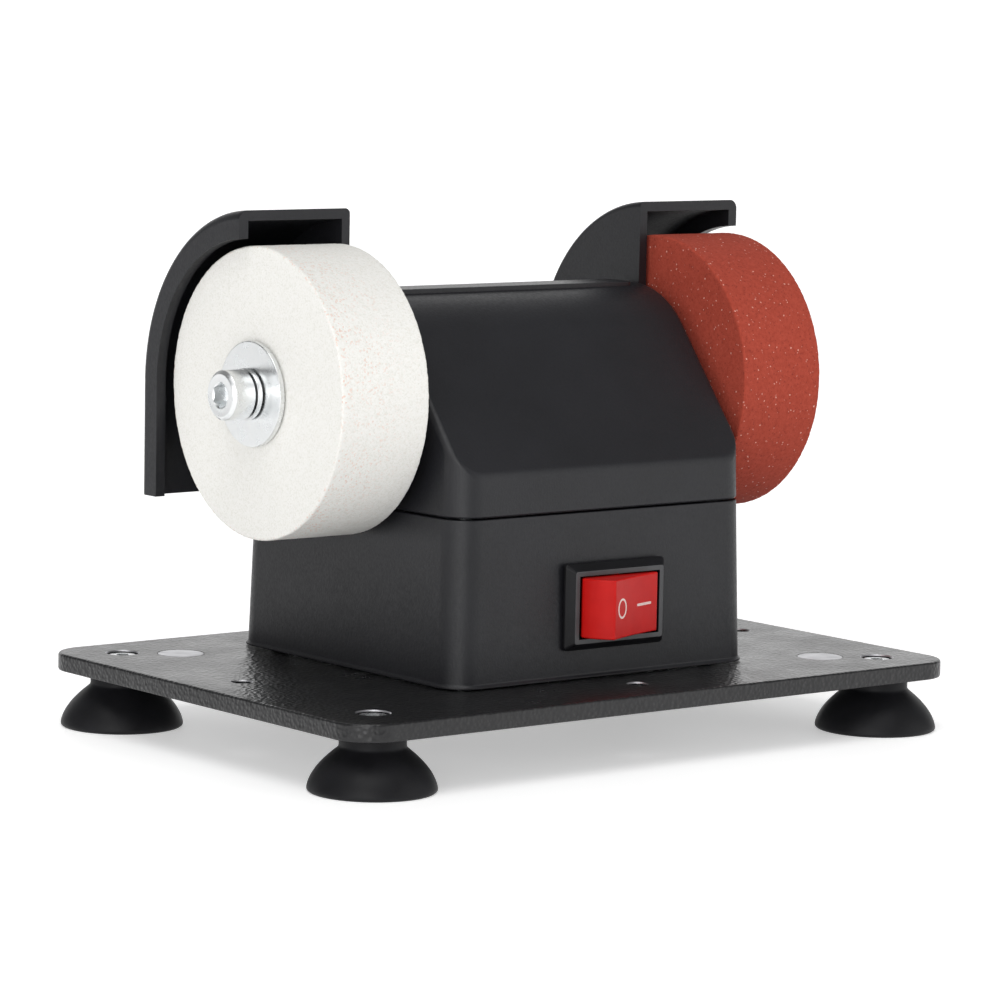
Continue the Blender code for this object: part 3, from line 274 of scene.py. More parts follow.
def mould(name, low, high, rough, grain_mm=0.4, depth=0.01):
    """A dull moulded or pressed piece."""
    f = Finish(name, specular=0.4)
    f.colour(f.ramp(f.noise(3.0, 4.0), (0.3, low), (0.7, high)))
    f.rough(f.noise(1.0, 3.0), *rough)
    return f.bump(f.noise(grain_mm, 3.0), depth, 0.6).mat


M = {
    "black_plastic": black_plastic(),
    "plate_black": plate_black(),
    "rubber": rubber(),
    "zinc": zinc(),
    "disc_steel": dull_steel(),
    "white_grit": white_grit(),
    "red_grit": red_grit(),
    "switch_black": gloss_plastic("switch_black", (0.006, 0.006, 0.007), (0.009, 0.009, 0.011),
                                  (0.36, 0.46), 0.2),
    "bezel_face": gloss_plastic("bezel_face", (0.045, 0.046, 0.049), (0.058, 0.059, 0.063), (0.34, 0.42)),
    "rocker_red": gloss_plastic("rocker_red", (0.52, 0.006, 0.005), (0.58, 0.009, 0.007), (0.28, 0.38), 0.16),
    "mark_white": mould("mark_white", (0.84, 0.66, 0.62), (0.92, 0.76, 0.72), (0.4, 0.5), 0.3, 0.004),
    "steel": metal("machined_steel", (0.46, 0.46, 0.47), (0.60, 0.60, 0.61), (0.26, 0.4)),
    "motor_steel": metal("motor_can", (0.42, 0.42, 0.43), (0.54, 0.54, 0.54), (0.3, 0.45), 1.2),
    "brass": metal("brass", (0.66, 0.47, 0.20), (0.80, 0.60, 0.28), (0.25, 0.4)),
    "copper": metal("enamelled_copper", (0.62, 0.24, 0.11), (0.76, 0.34, 0.17), (0.25, 0.35), 0.4),
    "nylon": mould("nylon", (0.66, 0.65, 0.60), (0.76, 0.75, 0.70), (0.4, 0.5)),
    "ferrite": mould("ferrite", (0.05, 0.05, 0.055), (0.08, 0.08, 0.085), (0.5, 0.7), 0.3, 0.02),
    "carbon": mould("carbon", (0.03, 0.03, 0.03), (0.05, 0.05, 0.05), (0.45, 0.6), 0.3, 0.02),
    "wire_red": gloss_plastic("wire_red", (0.45, 0.02, 0.02), (0.6, 0.03, 0.03), (0.3, 0.4)),
    "black_steel": metal("black_steel", (0.035, 0.035, 0.038), (0.06, 0.06, 0.065), (0.35, 0.5)),
    "wire_black": gloss_plastic("wire_black", (0.02, 0.02, 0.02), (0.03, 0.03, 0.03), (0.3, 0.4)),
}


# ---- mesh helpers -------------------------------------------------------------------------------
ALONG_X = Matrix(((0, 0, 1, 0), (1, 0, 0, 0), (0, 1, 0, 0), (0, 0, 0, 1)))    # (u, v, w) -> (w, u, v)
ALONG_Y = Matrix(((1, 0, 0, 0), (0, 0, -1, 0), (0, 1, 0, 0), (0, 0, 0, 1)))   # (u, v, w) -> (u, -w, v)


def at(x, y, z):
    return Matrix.Translation((x, y, z))


def on_shaft(x, side=1):
    """Local +Z points out along the shaft on the given side, from distance x."""
    turn = Matrix.Rotation(math.radians(90.0 * side), 4, "Y")
    return Matrix.Translation(AXIS + Vector((side * x, 0, 0))) @ turn


def wrap(name, bm, mats=(), place=None):
    """A mesh object in world coordinates; one without materials is a cutter."""
    bmesh.ops.recalc_face_normals(bm, faces=bm.faces)
    mesh = bpy.data.meshes.new(name)
    bm.to_mesh(mesh)
    bm.free()
    if place is not None:
        mesh.transform(place)
    for mat in mats:
        mesh.materials.append(M[mat])
    made = bpy.data.objects.new(name, mesh)
    (scene.collection if mats else CUTTERS).objects.link(made)
    made.hide_render = not mats
    return made


def loft(name, rings, mats=(), place=None):
    """A closed skin through rings of 3-D points that share one count."""
    bm = bmesh.new()
    rows = [[bm.verts.new(p) for p in r] for r in rings]
    n = len(rows[0])
    for a, b in zip(rows, rows[1:]):
        for i in range(n):
            j = (i + 1) % n
            bm.faces.new((a[i], a[j], b[j], b[i]))
    bm.faces.new(rows[0])
    bm.faces.new(rows[-1])
    return wrap(name, bm, mats, place)


def stack(name, levels, mats=(), place=None):
    return loft(name, [[(x, y, z) for x, y in outline] for outline, z in levels], mats, place)


def prism(name, outline, z0, z1, mats=(), place=None):
    return stack(name, [(outline, z0), (outline, z1)], mats, place)


def turned(name, profile, steps, mats=(), place=None, closed=False):
    """A turned piece from (radius, height) points; an open profile starts and ends on the axis."""
    bm = bmesh.new()
    rows = []
    for r, z in profile:
        around = [(0.0, 0.0)] if r < TINY else ring(r, steps)
        rows.append([bm.verts.new((x, y, z)) for x, y in around])
    for a, b in zip(rows, rows[1:] + (rows[:1] if closed else [])):
        for i in range(steps):
            j = (i + 1) % steps
            if len(a) == 1 and len(b) == 1:
                break
            if len(a) == 1:
                bm.faces.new((a[0], b[j], b[i]))
            elif len(b) == 1:
                bm.faces.new((a[i], a[j], b[0]))
            else:
                bm.faces.new((a[i], a[j], b[j], b[i]))
    return wrap(name, bm, mats, place)


def soft(points, r, n=4, closed=False):
    """The same outline with each real corner rounded."""
    out = []
    for i, point in enumerate(points):
        p = Vector(point)
        if not closed and i in (0, len(points) - 1):
            out.append(tuple(p))
            continue
        a, b = Vector(points[i - 1]) - p, Vector(points[(i + 1) % len(points)]) - p
        if a.length < TINY or b.length < TINY or a.angle(b) > math.pi - 0.2:
            out.append(tuple(p))
            continue
        reach = min(r / math.tan(a.angle(b) / 2), a.length * 0.45, b.length * 0.45)
        s, e = p + a.normalized() * reach, p + b.normalized() * reach
        for k in range(n + 1):
            t = k / n
            out.append(tuple((1 - t) ** 2 * s + 2 * t * (1 - t) * p + t * t * e))
    return out


def ring(r, steps):
    turns = [2 * math.pi * i / steps for i in range(steps)]
    return [(r * math.cos(a), r * math.sin(a)) for a in turns]


def rect(x0, x1, y0, y1):
    return [(x0, y0), (x1, y0), (x1, y1), (x0, y1)]


def arc(r, a0, a1, steps, centre=(0.0, 0.0)):
    turns = [math.radians(a0 + (a1 - a0) * i / steps) for i in range(steps + 1)]
    return [(centre[0] + r * math.cos(a), centre[1] + r * math.sin(a)) for a in turns]


def rounded_rect(hx, hy, r, steps=10, centre=(0.0, 0.0)):
    points = []
    for quarter, (sx, sy) in enumerate(((1, 1), (-1, 1), (-1, -1), (1, -1))):
        points += [(x + centre[0] + sx * (hx - r), y + centre[1] + sy * (hy - r))
                   for x, y in arc(r, 90 * quarter, 90 * quarter + 90, steps)]
    return points


def combine(made, operation, *tools):
    """Applies exact Booleans; the tools are used up."""
    for tool in tools:
        mod = made.modifiers.new("combine", "BOOLEAN")
        mod.operation = operation
        mod.solver = "EXACT"
        mod.object = tool
    apply(made)
    for tool in tools:
        bpy.data.objects.remove(tool, do_unlink=True)
    return made


def cut(made, *tools):
    return combine(made, "DIFFERENCE", *tools)


def join(made, *tools):
    return combine(made, "UNION", *tools)


def apply(made):
    bpy.context.view_layer.update()
    mesh = bpy.data.meshes.new_from_object(made.evaluated_get(bpy.context.evaluated_depsgraph_get()))
    old = made.data
    made.modifiers.clear()
    made.data = mesh
    bpy.data.meshes.remove(old)
    return made


def ease(made, width, segments=2, angle=40.0):
    """Small rounding along the sharp edges."""
    mod = made.modifiers.new("ease", "BEVEL")
    mod.width = width
    mod.segments = segments
    mod.limit_method = "ANGLE"
    mod.angle_limit = math.radians(angle)
    mod.harden_normals = False
    return apply(made)


def done(made, body, slot, *nodes, angle=35.0, flat=True):
    """Shading, the body it rides on, and the CAD nodes that it stands for; the finish slot argument is not
    used.
    """
    made.data.shade_smooth()
    made.data.set_sharp_from_angle(angle=math.radians(angle))
    if flat:
        mod = made.modifiers.new("even", "WEIGHTED_NORMAL")
        mod.keep_sharp = True
        mod.weight = 80
    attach(made, body)
    if nodes:
        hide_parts(*nodes)
    return made


# ---- base plate, discs, feet --------------------------------------------------------------------
FEET = ("front_left", "front_right", "rear_left", "rear_right")
DISCS = ("left", "right")


def build_plate():
    lo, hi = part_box("base_plate")
    hx, hy, r = hi.x, hi.y, 7.0 * MM
    levels = []
    for inset, z in ((0.35, lo.z), (0.1, lo.z + 0.1 * MM), (0.0, lo.z + 0.35 * MM),
                     (0.0, hi.z - 0.45 * MM), (0.04, hi.z - 0.28 * MM), (0.15, hi.z - 0.13 * MM),
                     (0.28, hi.z - 0.04 * MM), (0.45, hi.z)):
        levels.append((rounded_rect(hx - inset * MM, hy - inset * MM, r - inset * MM, 14), z))
    plate = stack("plate", levels, ["plate_black", "disc_steel"])
    low, high = lo.z - 1 * MM, hi.z + 1 * MM

    def hole(x, y, radius, floor=None, lip=0.22 * MM):
        bottom = low if floor is None else floor
        profile = [(0.0, bottom), (radius, bottom), (radius, hi.z - lip), (radius + lip, hi.z),
                   (radius + lip, high), (0.0, high)]
        return turned("hole", profile, 40, place=at(x, y, 0))

    tools = []
    for foot in FEET:
        c, h = middle("foot_screw_" + foot), half("foot_screw_" + foot)
        tools.append(hole(c.x, c.y, h.x + 0.3 * MM, hi.z - 2.05 * MM))
        shank = [(0.0, low), (1.8 * MM, low), (1.8 * MM, hi.z - 1.2 * MM), (0.0, hi.z - 1.2 * MM)]
        tools.append(turned("shank", shank, 32, place=at(c.x, c.y, 0)))
    inset = 9.9 * MM                                 # bench holes at the middles of the edges
    for x, y in ((hx - inset, 0), (inset - hx, 0), (0, hy - inset), (0, inset - hy)):
        tools.append(hole(x, y, 1.7 * MM))
    for foot in FEET:
        c = middle("case_screw_" + foot)
        case = [(0.0, low), (1.8 * MM, low), (1.8 * MM, high), (0.0, high)]
        tools.append(turned("case", case, 24, place=at(c.x, c.y, 0)))
    for side in DISCS:
        c, h = middle("plate_disc_" + side), half("plate_disc_" + side)
        tools.append(hole(c.x, c.y, h.x + 0.12 * MM, hi.z - 1.5 * MM, 0.1 * MM))
    cut(plate, *tools)
    for face in plate.data.polygons:             # bare metal where the bits broke the coating
        c = face.center
        on_lip = hi.z - 0.21 * MM < c.z < hi.z - 0.05 * MM and 0.05 < face.normal.z < 0.95
        if on_lip and abs(c.x) < hx - 2 * MM and abs(c.y) < hy - 2 * MM:
            face.material_index = 1
    done(plate, "frame", "plate_black", "base_plate")
    for side in DISCS:
        lo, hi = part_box("plate_disc_" + side)
        c, r = (lo + hi) / 2, (hi.x - lo.x) / 2 + 0.06 * MM
        coin = soft([(0.0, lo.z), (r, lo.z), (r, hi.z), (0.0, hi.z)], 0.15 * MM)
        disc = turned("disc_" + side, coin, 64, ["disc_steel"], at(c.x, c.y, 0))
        done(disc, "frame", "disc_steel", "plate_disc_" + side)


def build_feet():
    for foot in FEET:
        lo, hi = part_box("suction_cup_" + foot)
        c, r, top = (lo + hi) / 2, (hi.x - lo.x) / 2, hi.z
        neck_r, neck = 5.6 * MM, hi.z - 2.3 * MM
        lip = 0.65 * MM
        profile = [(1.8 * MM, top), (neck_r - 0.3 * MM, top), (neck_r, top - 0.3 * MM),
                   (neck_r, neck + 0.5 * MM), (neck_r + 0.06 * MM, neck + 0.2 * MM),
                   (neck_r + 0.22 * MM, neck - 0.02 * MM)]
        start, end = Vector((neck_r + 0.5 * MM, neck - 0.25 * MM)), Vector((r, lip))
        bulge = Vector((neck_r + 0.9 * (r - neck_r), neck - 0.54 * (neck - lip)))
        for i in range(1, 19):
            t = i / 18
            profile.append(tuple((1 - t) ** 2 * start + 2 * t * (1 - t) * bulge + t * t * end))
        profile += [(r - 0.02 * MM, lip * 0.55), (r - 0.12 * MM, 0.2 * MM), (r - 0.35 * MM, 0.03 * MM),
                    (r - 0.65 * MM, 0.0), (r - 1.1 * MM, 0.05 * MM)]
        for i in range(1, 9):
            a = math.radians(90.0 * i / 9)
            profile.append(((r - 1.1 * MM) * math.cos(a), 2.4 * MM * math.sin(a) + 0.05 * MM))
        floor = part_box("foot_screw_" + foot)[0].z - 0.3 * MM
        profile += [(0.0, 2.45 * MM), (0.0, floor), (1.8 * MM, floor)]
        cup = turned("cup_" + foot, profile, 72, ["rubber"], at(c.x, c.y, 0), closed=True)
        done(cup, "frame", "rubber", "suction_cup_" + foot, flat=False)
        lo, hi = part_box("foot_screw_" + foot)
        r = (hi.x - lo.x) / 2
        head = soft([(0.0, hi.z), (r, hi.z), (r, hi.z - 1.4 * MM), (1.5 * MM, hi.z - 1.4 * MM),
                     (1.5 * MM, lo.z), (0.0, lo.z)], 0.3 * MM)
        screw = turned("screw_" + foot, head, 48, ["zinc"], at(c.x, c.y, 0))
        cut(screw, prism("hex", ring(1.2 * MM, 6), hi.z - 1.2 * MM, hi.z + MM, place=at(c.x, c.y, 0)))
        done(screw, "frame", "zinc", "foot_screw_" + foot)


# ---- housing ------------------------------------------------------------------------------------
DRAFT = 0.025
WALL = 2.0 * MM
CORNER = 5.2 * MM
RIB_UP = 0.45 * MM


def build_lower():
    lo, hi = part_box("lower_housing")
    hi.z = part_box("upper_housing")[0].z - 0.3 * MM       # the box also holds the motor saddles
    cy = (lo.y + hi.y) / 2
    flare = 0.4 * MM
    hx0, hy0 = (hi.x - lo.x) / 2 - flare, (hi.y - lo.y) / 2 - flare

    def level(z, inset=0.0):
        lean = (z - lo.z) * DRAFT + inset
        return rounded_rect(hx0 - lean, hy0 - lean, max(CORNER - inset, 0.6 * MM), 12, (0, cy)), z

    outer = [level(lo.z, 0.12 * MM - flare), level(lo.z + 0.10 * MM, -flare), level(lo.z + 0.30 * MM, -flare),
             level(lo.z + 0.42 * MM, -flare * 0.7), level(lo.z + 0.60 * MM, -flare * 0.2),
             level(lo.z + 0.85 * MM),
             level(hi.z - 0.25 * MM), level(hi.z - 0.08 * MM, 0.07 * MM), level(hi.z, 0.22 * MM)]
    lower = stack("housing_lower", outer, ["black_plastic"])
    cut(lower, stack("room", [level(lo.z + 2.2 * MM, WALL), level(hi.z + MM, WALL)]))
    can = half("motor_can")
    for sx in (-1, 1):
        x = sx * (can.x - 8.0 * MM)
        join(lower, prism("saddle", rect(x - 1.5 * MM, x + 1.5 * MM, AXIS.y - 9 * MM, AXIS.y + 9 * MM),
                          lo.z + 1.1 * MM, AXIS.z - 0.8 * can.y))
    for foot in FEET:
        c = middle("case_screw_" + foot)
        spot = at(c.x, c.y, 0)
        join(lower, prism("boss", ring(3.4 * MM, 32), lo.z + 1.1 * MM, hi.z - 0.1 * MM, place=spot))
        cut(lower, prism("bore", ring(1.8 * MM, 24), lo.z - MM, hi.z + MM, place=spot))
    cut(lower, prism("can", ring(can.y + 0.3 * MM, 64), -can.x - 3 * MM, can.x + 3 * MM, place=on_shaft(0)))
    blo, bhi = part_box("switch_body")
    z, x = (blo.z + bhi.z) / 2, (blo.x + bhi.x) / 2
    w, h = (bhi.x - blo.x) / 2 - 1.4 * MM, (bhi.z - blo.z) / 2 - 0.9 * MM
    cut(lower, prism("switch_hole", rect(x - w, x + w, lo.y - MM, lo.y + WALL + 2 * MM), z - h, z + h))
    c = middle("dc_inlet")
    through = at(c.x, 0, c.z) @ ALONG_Y
    cut(lower, prism("jack_hole", ring(4.2 * MM, 48), -hi.y - MM, -hi.y + WALL + 2 * MM, place=through))
    done(lower, "frame", "black_plastic", "lower_housing")


def hood(name, z0, crease, hx, hy, cy, cz, r, inset, end_r, corner, crease_r, mats=()):
    """Walls, a soft crease, slopes tangent to a roof arc, and rounded vertical corners and ends.

    It is drawn as sections across the shaft, each from the low edge over the crown and back.
    """
    hx, hy, r = hx - inset, hy - inset, r - inset
    crease = crease - inset * 0.5
    dist = math.hypot(hy, crease - cz)
    a1 = math.atan2(crease - cz, hy) + math.acos(r / dist)
    stops = {round(hx - corner + corner * math.sin(math.radians(a)), 7) for a in range(0, 91, 6)}
    if end_r:
        stops |= {round(hx - end_r + end_r * math.sin(math.radians(a)), 7) for a in range(0, 91, 15)}
    stops |= {hx * k / 4 for k in range(4)}
    xs = sorted(s for s in stops if s <= hx + TINY)
    sections = []
    for x in [-s for s in reversed(xs) if s > 0] + xs:
        far = abs(x)
        into = max(0.0, far - (hx - corner)) / corner
        wall = hy - corner + corner * math.sqrt(max(0.0, 1 - min(into, 1.0) ** 2))
        over = max(0.0, far - (hx - end_r))
        rr = r - end_r + math.sqrt(max(0.0, end_r ** 2 - over ** 2))
        tangent = (rr * math.cos(a1), cz + rr * math.sin(a1))
        slope = -math.cos(a1) / math.sin(a1)
        top = tangent[1] + (wall - tangent[0]) * slope
        mid = ((wall + tangent[0]) / 2, (top + tangent[1]) / 2)
        side = soft([(wall, z0), (wall, z0 + 0.25 * MM), (wall, z0 + 2.6 * MM), (wall, top), mid, tangent],
                    crease_r, 6)
        side += arc(rr, math.degrees(a1), 90.0, 26, (0.0, cz))[1:]
        both = side + [(-y, z) for y, z in reversed(side[:-1])]
        sections.append([Vector((x, y, z)) for y, z in both])
    bm = bmesh.new()
    rows = []
    lean_top = (crease - z0) * DRAFT
    for row in sections:
        made = []
        for p in row:
            give = lean_top - min(max(p.z - z0, 0.0) * DRAFT, lean_top)
            if not inset and p.z < z0 + 1e-6:
                give -= 0.2 * MM
            made.append(bm.verts.new((p.x * (hx + give) / hx, cy + p.y * (hy + give) / hy, p.z)))
        rows.append(made)
    n = len(rows[0])
    for a, b in zip(rows, rows[1:]):
        for i in range(n):
            j = (i + 1) % n
            bm.faces.new((a[i], a[j], b[j], b[i]))
    for row in (rows[0], rows[-1]):
        for i in range(n // 2 - 1):
            bm.faces.new((row[i], row[i + 1], row[n - 2 - i], row[n - 1 - i]))
        if n % 2:
            bm.faces.new((row[n // 2 - 1], row[n // 2], row[n // 2 + 1]))
    return wrap(name, bm, mats)


def build_upper():
    lo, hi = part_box("upper_housing")
    cy = (lo.y + hi.y) / 2
    crease = lo.z + 7.2 * MM
    lean = (crease - lo.z) * DRAFT
    hx, hy = (hi.x - lo.x) / 2 - lean, (hi.y - lo.y) / 2 - lean
    crown = hi.z - RIB_UP
    roof_r = half("motor_can").y + 4.0 * MM
    cz = crown - roof_r
    upper = hood("housing_upper", lo.z, crease, hx, hy, cy, cz, roof_r, 0.0, 1.3 * MM, CORNER, 2.6 * MM,
                 ["black_plastic"])
    cut(upper, hood("room", lo.z - MM, crease, hx, hy, cy, cz, roof_r, WALL, 0.0, CORNER - WALL, 0.6 * MM))
    rib = []
    for inset, up in ((0.0, -WALL / 2), (0.0, RIB_UP - 0.18 * MM), (0.05, RIB_UP - 0.06 * MM), (0.2, RIB_UP)):
        outline = rounded_rect(hx - (4.2 + inset) * MM, (3.5 - inset) * MM, 1.0 * MM, 6, (0, cy))
        rib.append((outline, crown + up))
    join(upper, stack("rib", rib))
    for foot in FEET:
        c = middle("case_screw_" + foot)
        spot = at(c.x, c.y, 0)
        join(upper, prism("boss", ring(3.2 * MM, 32), lo.z + 0.05 * MM, lo.z + 7.6 * MM, place=spot))
        cut(upper, prism("bore", ring(1.8 * MM, 24), lo.z - MM, lo.z + 6.4 * MM, place=spot))
    for side, tag in ((-1, "left"), (1, "right")):
        for which in ("lower", "upper"):
            c = middle("guard_screw_%s_%s" % (tag, which)) - AXIS
            spot = at(0, c.y, c.z) @ on_shaft(0, side)
            join(upper, prism("boss", ring(2.7 * MM, 24), hx - 6.2 * MM, hx - WALL / 2, place=spot))
            cut(upper, prism("bore", ring(1.55 * MM, 20), hx - 5.2 * MM, hx + MM, place=spot))
        cut(upper, prism("arbor_hole", ring(7.0 * MM, 56), hx - WALL - MM, hx + MM, place=on_shaft(0, side)))
    done(upper, "frame", "black_plastic", "upper_housing", angle=32.0)


# ---- guards -------------------------------------------------------------------------------------
def build_guards():
    band, wall, lip_t, lip_in = 1.8 * MM, 1.7 * MM, 1.9 * MM, 4.8 * MM
    for side, tag in ((-1, "left"), (1, "right")):
        lo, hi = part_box("guard_" + tag)
        x0, x1 = (lo.x, hi.x) if side > 0 else (-hi.x, -lo.x)
        front, down, r = lo.y - AXIS.y, AXIS.z - lo.z, hi.y - AXIS.y

        def outline(radius, forward, below):
            curve = arc(radius, 0.0, math.degrees(math.acos(forward / radius)), 56, (AXIS.y, AXIS.z))
            return [(AXIS.y + forward, AXIS.z - below), (AXIS.y + radius, AXIS.z - below)] + curve

        levels = []                                  # rounded over at the outer and the inner edge
        for steps, edge, x, way in ((7, 1.6 * MM, x1, -1), (5, 1.0 * MM, x0, 1)):
            for k in range(steps + 1):
                a = math.radians(90.0 * k / steps)
                radius = r - edge * (1 - math.sin(a))
                levels.append((outline(radius, front, down), side * (x + way * edge * (1 - math.cos(a)))))
        levels.sort(key=lambda level: level[1])
        guard = stack("hood_" + tag, levels, ["black_plastic"], ALONG_X)

        def slab(shape, a, b):
            low, high = sorted((side * a, side * b))
            return prism("slab", shape, low, high, (), ALONG_X)

        tools = [slab(outline(r - band, front - 6 * MM, down + 6 * MM), x0 + wall, x1 - lip_t),
                 slab(outline(r - lip_in, front - 6 * MM, down + 6 * MM), x1 - lip_t - MM, x1 + MM),
                 prism("notch", ring(10.2 * MM, 80), x0 - MM, x0 + wall + MM, (), on_shaft(0, side))]
        face = x0 + wall
        for which in ("lower", "upper"):
            c = middle("guard_screw_%s_%s" % (tag, which)) - AXIS
            sink = [(0.0, face + MM), (3.6 * MM, face + MM), (1.55 * MM, face - 1.35 * MM),
                    (1.55 * MM, x0 - MM), (0.0, x0 - MM)]
            tools.append(turned("sink", sink, 32, (), at(0, c.y, c.z) @ on_shaft(0, side)))
        cut(guard, *tools)
        ease(guard, 0.16 * MM, 2, 50.0)
        done(guard, "frame", "black_plastic", "guard_" + tag)


# ---- wheels and their hardware ------------------------------------------------------------------
def build_wheels():
    for side, tag, grit in ((-1, "left", "white_grit"), (1, "right", "red_grit")):
        lo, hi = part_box("grinding_wheel_" + tag)
        r = (hi.z - lo.z) / 2
        x0, x1 = (lo.x, hi.x) if side > 0 else (-hi.x, -lo.x)
        bore, step = 5.0 * MM, 0.45 * MM             # step: as fine as the grain that it will carry
        corner = soft([(bore, x1), (r, x1), (r, x0), (bore, x0)], 0.45 * MM, 4)
        profile = []
        for a, b in zip(corner, corner[1:]):
            n = max(1, int(math.dist(a, b) / step))
            profile += [(a[0] + (b[0] - a[0]) * k / n, a[1] + (b[1] - a[1]) * k / n) for k in range(n)]
        profile.append(corner[-1])
        wheel = turned("wheel_" + tag, profile, 330, [grit], on_shaft(0, side), closed=True)
        shift = Vector((17.0 * side, 3.0, 5.0))
        normals = [v.normal.copy() for v in wheel.data.vertices]
        for v, normal in zip(wheel.data.vertices, normals):
            p = v.co / MM + shift
            deep = noise.noise(p * 0.9) * 0.5 + noise.noise(p * 2.1)      # pits, with the peaks dressed off
            v.co += normal * (min(deep, 0.35) * 0.075 - 0.02) * MM
        done(wheel, "rotor", grit, "grinding_wheel_" + tag, angle=60.0, flat=False)
        build_hardware(side, tag)


def build_hardware(side, tag):
    place = on_shaft(0, side)

    def span(node):
        lo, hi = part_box(node)
        return ((lo.x, hi.x) if side > 0 else (-hi.x, -lo.x)) + ((hi.z - lo.z) / 2,)

    tap = 2.8 * MM
    x0, x1, r = span("outer_washer_" + tag)
    edge = soft([(r, x1), (r, x0), (tap, x0), (tap, x1)], 0.18 * MM, 3, True)
    washer = turned("washer_" + tag, edge, 96, ["zinc"], place, closed=True)
    done(washer, "rotor", "zinc", "outer_washer_" + tag)
    x0, x1, r = span("lock_washer_" + tag)
    edge = soft([(r, x1), (r, x0), (tap, x0), (tap, x1)], 0.12 * MM, 3, True)
    lock = turned("lock_" + tag, edge, 64, ["zinc"], place, closed=True)
    skew = at(0, 0, (x0 + x1) / 2) @ Matrix.Rotation(math.radians(25.0), 4, "Y")
    cut(lock, prism("slit", rect(-0.4 * MM, 0.4 * MM, 0.0, 2 * r), -3 * MM, 3 * MM, (), place @ skew))
    done(lock, "rotor", "zinc", "lock_washer_" + tag)
    x0, x1, r = span("wheel_bolt_" + tag)
    seat = x1 - 4.5 * MM
    head = [(0.0, x1 - 0.02 * MM), (r - 0.9 * MM, x1 - 0.02 * MM), (r - 0.75 * MM, x1)]
    head += soft([(r - 0.75 * MM, x1), (r - 0.55 * MM, x1), (r, x1 - 0.55 * MM), (r, seat + 0.2 * MM),
                  (r - 0.2 * MM, seat), (2.5 * MM, seat)], 0.14 * MM, 3)[1:]
    head += [(2.5 * MM, seat - MM)]
    pitch = 0.8 * MM                                 # plain grooves stand for the thread
    for k in range(int((seat - MM - x0) / pitch)):
        z = seat - MM - (k + 0.5) * pitch
        head += [(2.12 * MM, z), (2.5 * MM, z - pitch / 2)]
    head += [(2.1 * MM, x0), (0.0, x0)]
    bolt = turned("bolt_" + tag, head, 72, ["zinc"], place)
    flat = 4.0 * MM / math.sqrt(3)
    cut(bolt, prism("hex", ring(flat, 6), x1 - 2.5 * MM, x1 + MM, (), place),
        turned("mouth", [(0.0, x1 - 0.5 * MM), (flat - 0.28 * MM, x1 - 0.28 * MM),
                         (flat + 0.08 * MM, x1 + 0.08 * MM), (flat + 0.08 * MM, x1 + MM), (0.0, x1 + MM)],
               48, (), place),
        turned("drill", [(0.0, x1 - 3.3 * MM), (1.9 * MM, x1 - 2.45 * MM), (1.9 * MM, x1 - 2.0 * MM),
                         (0.0, x1 - 2.0 * MM)], 36, (), place))
    done(bolt, "rotor", "zinc", "wheel_bolt_" + tag)


# ---- switch and inlet ---------------------------------------------------------------------------
TIPPED = 20.0                     # degrees that the rocker leans at rest


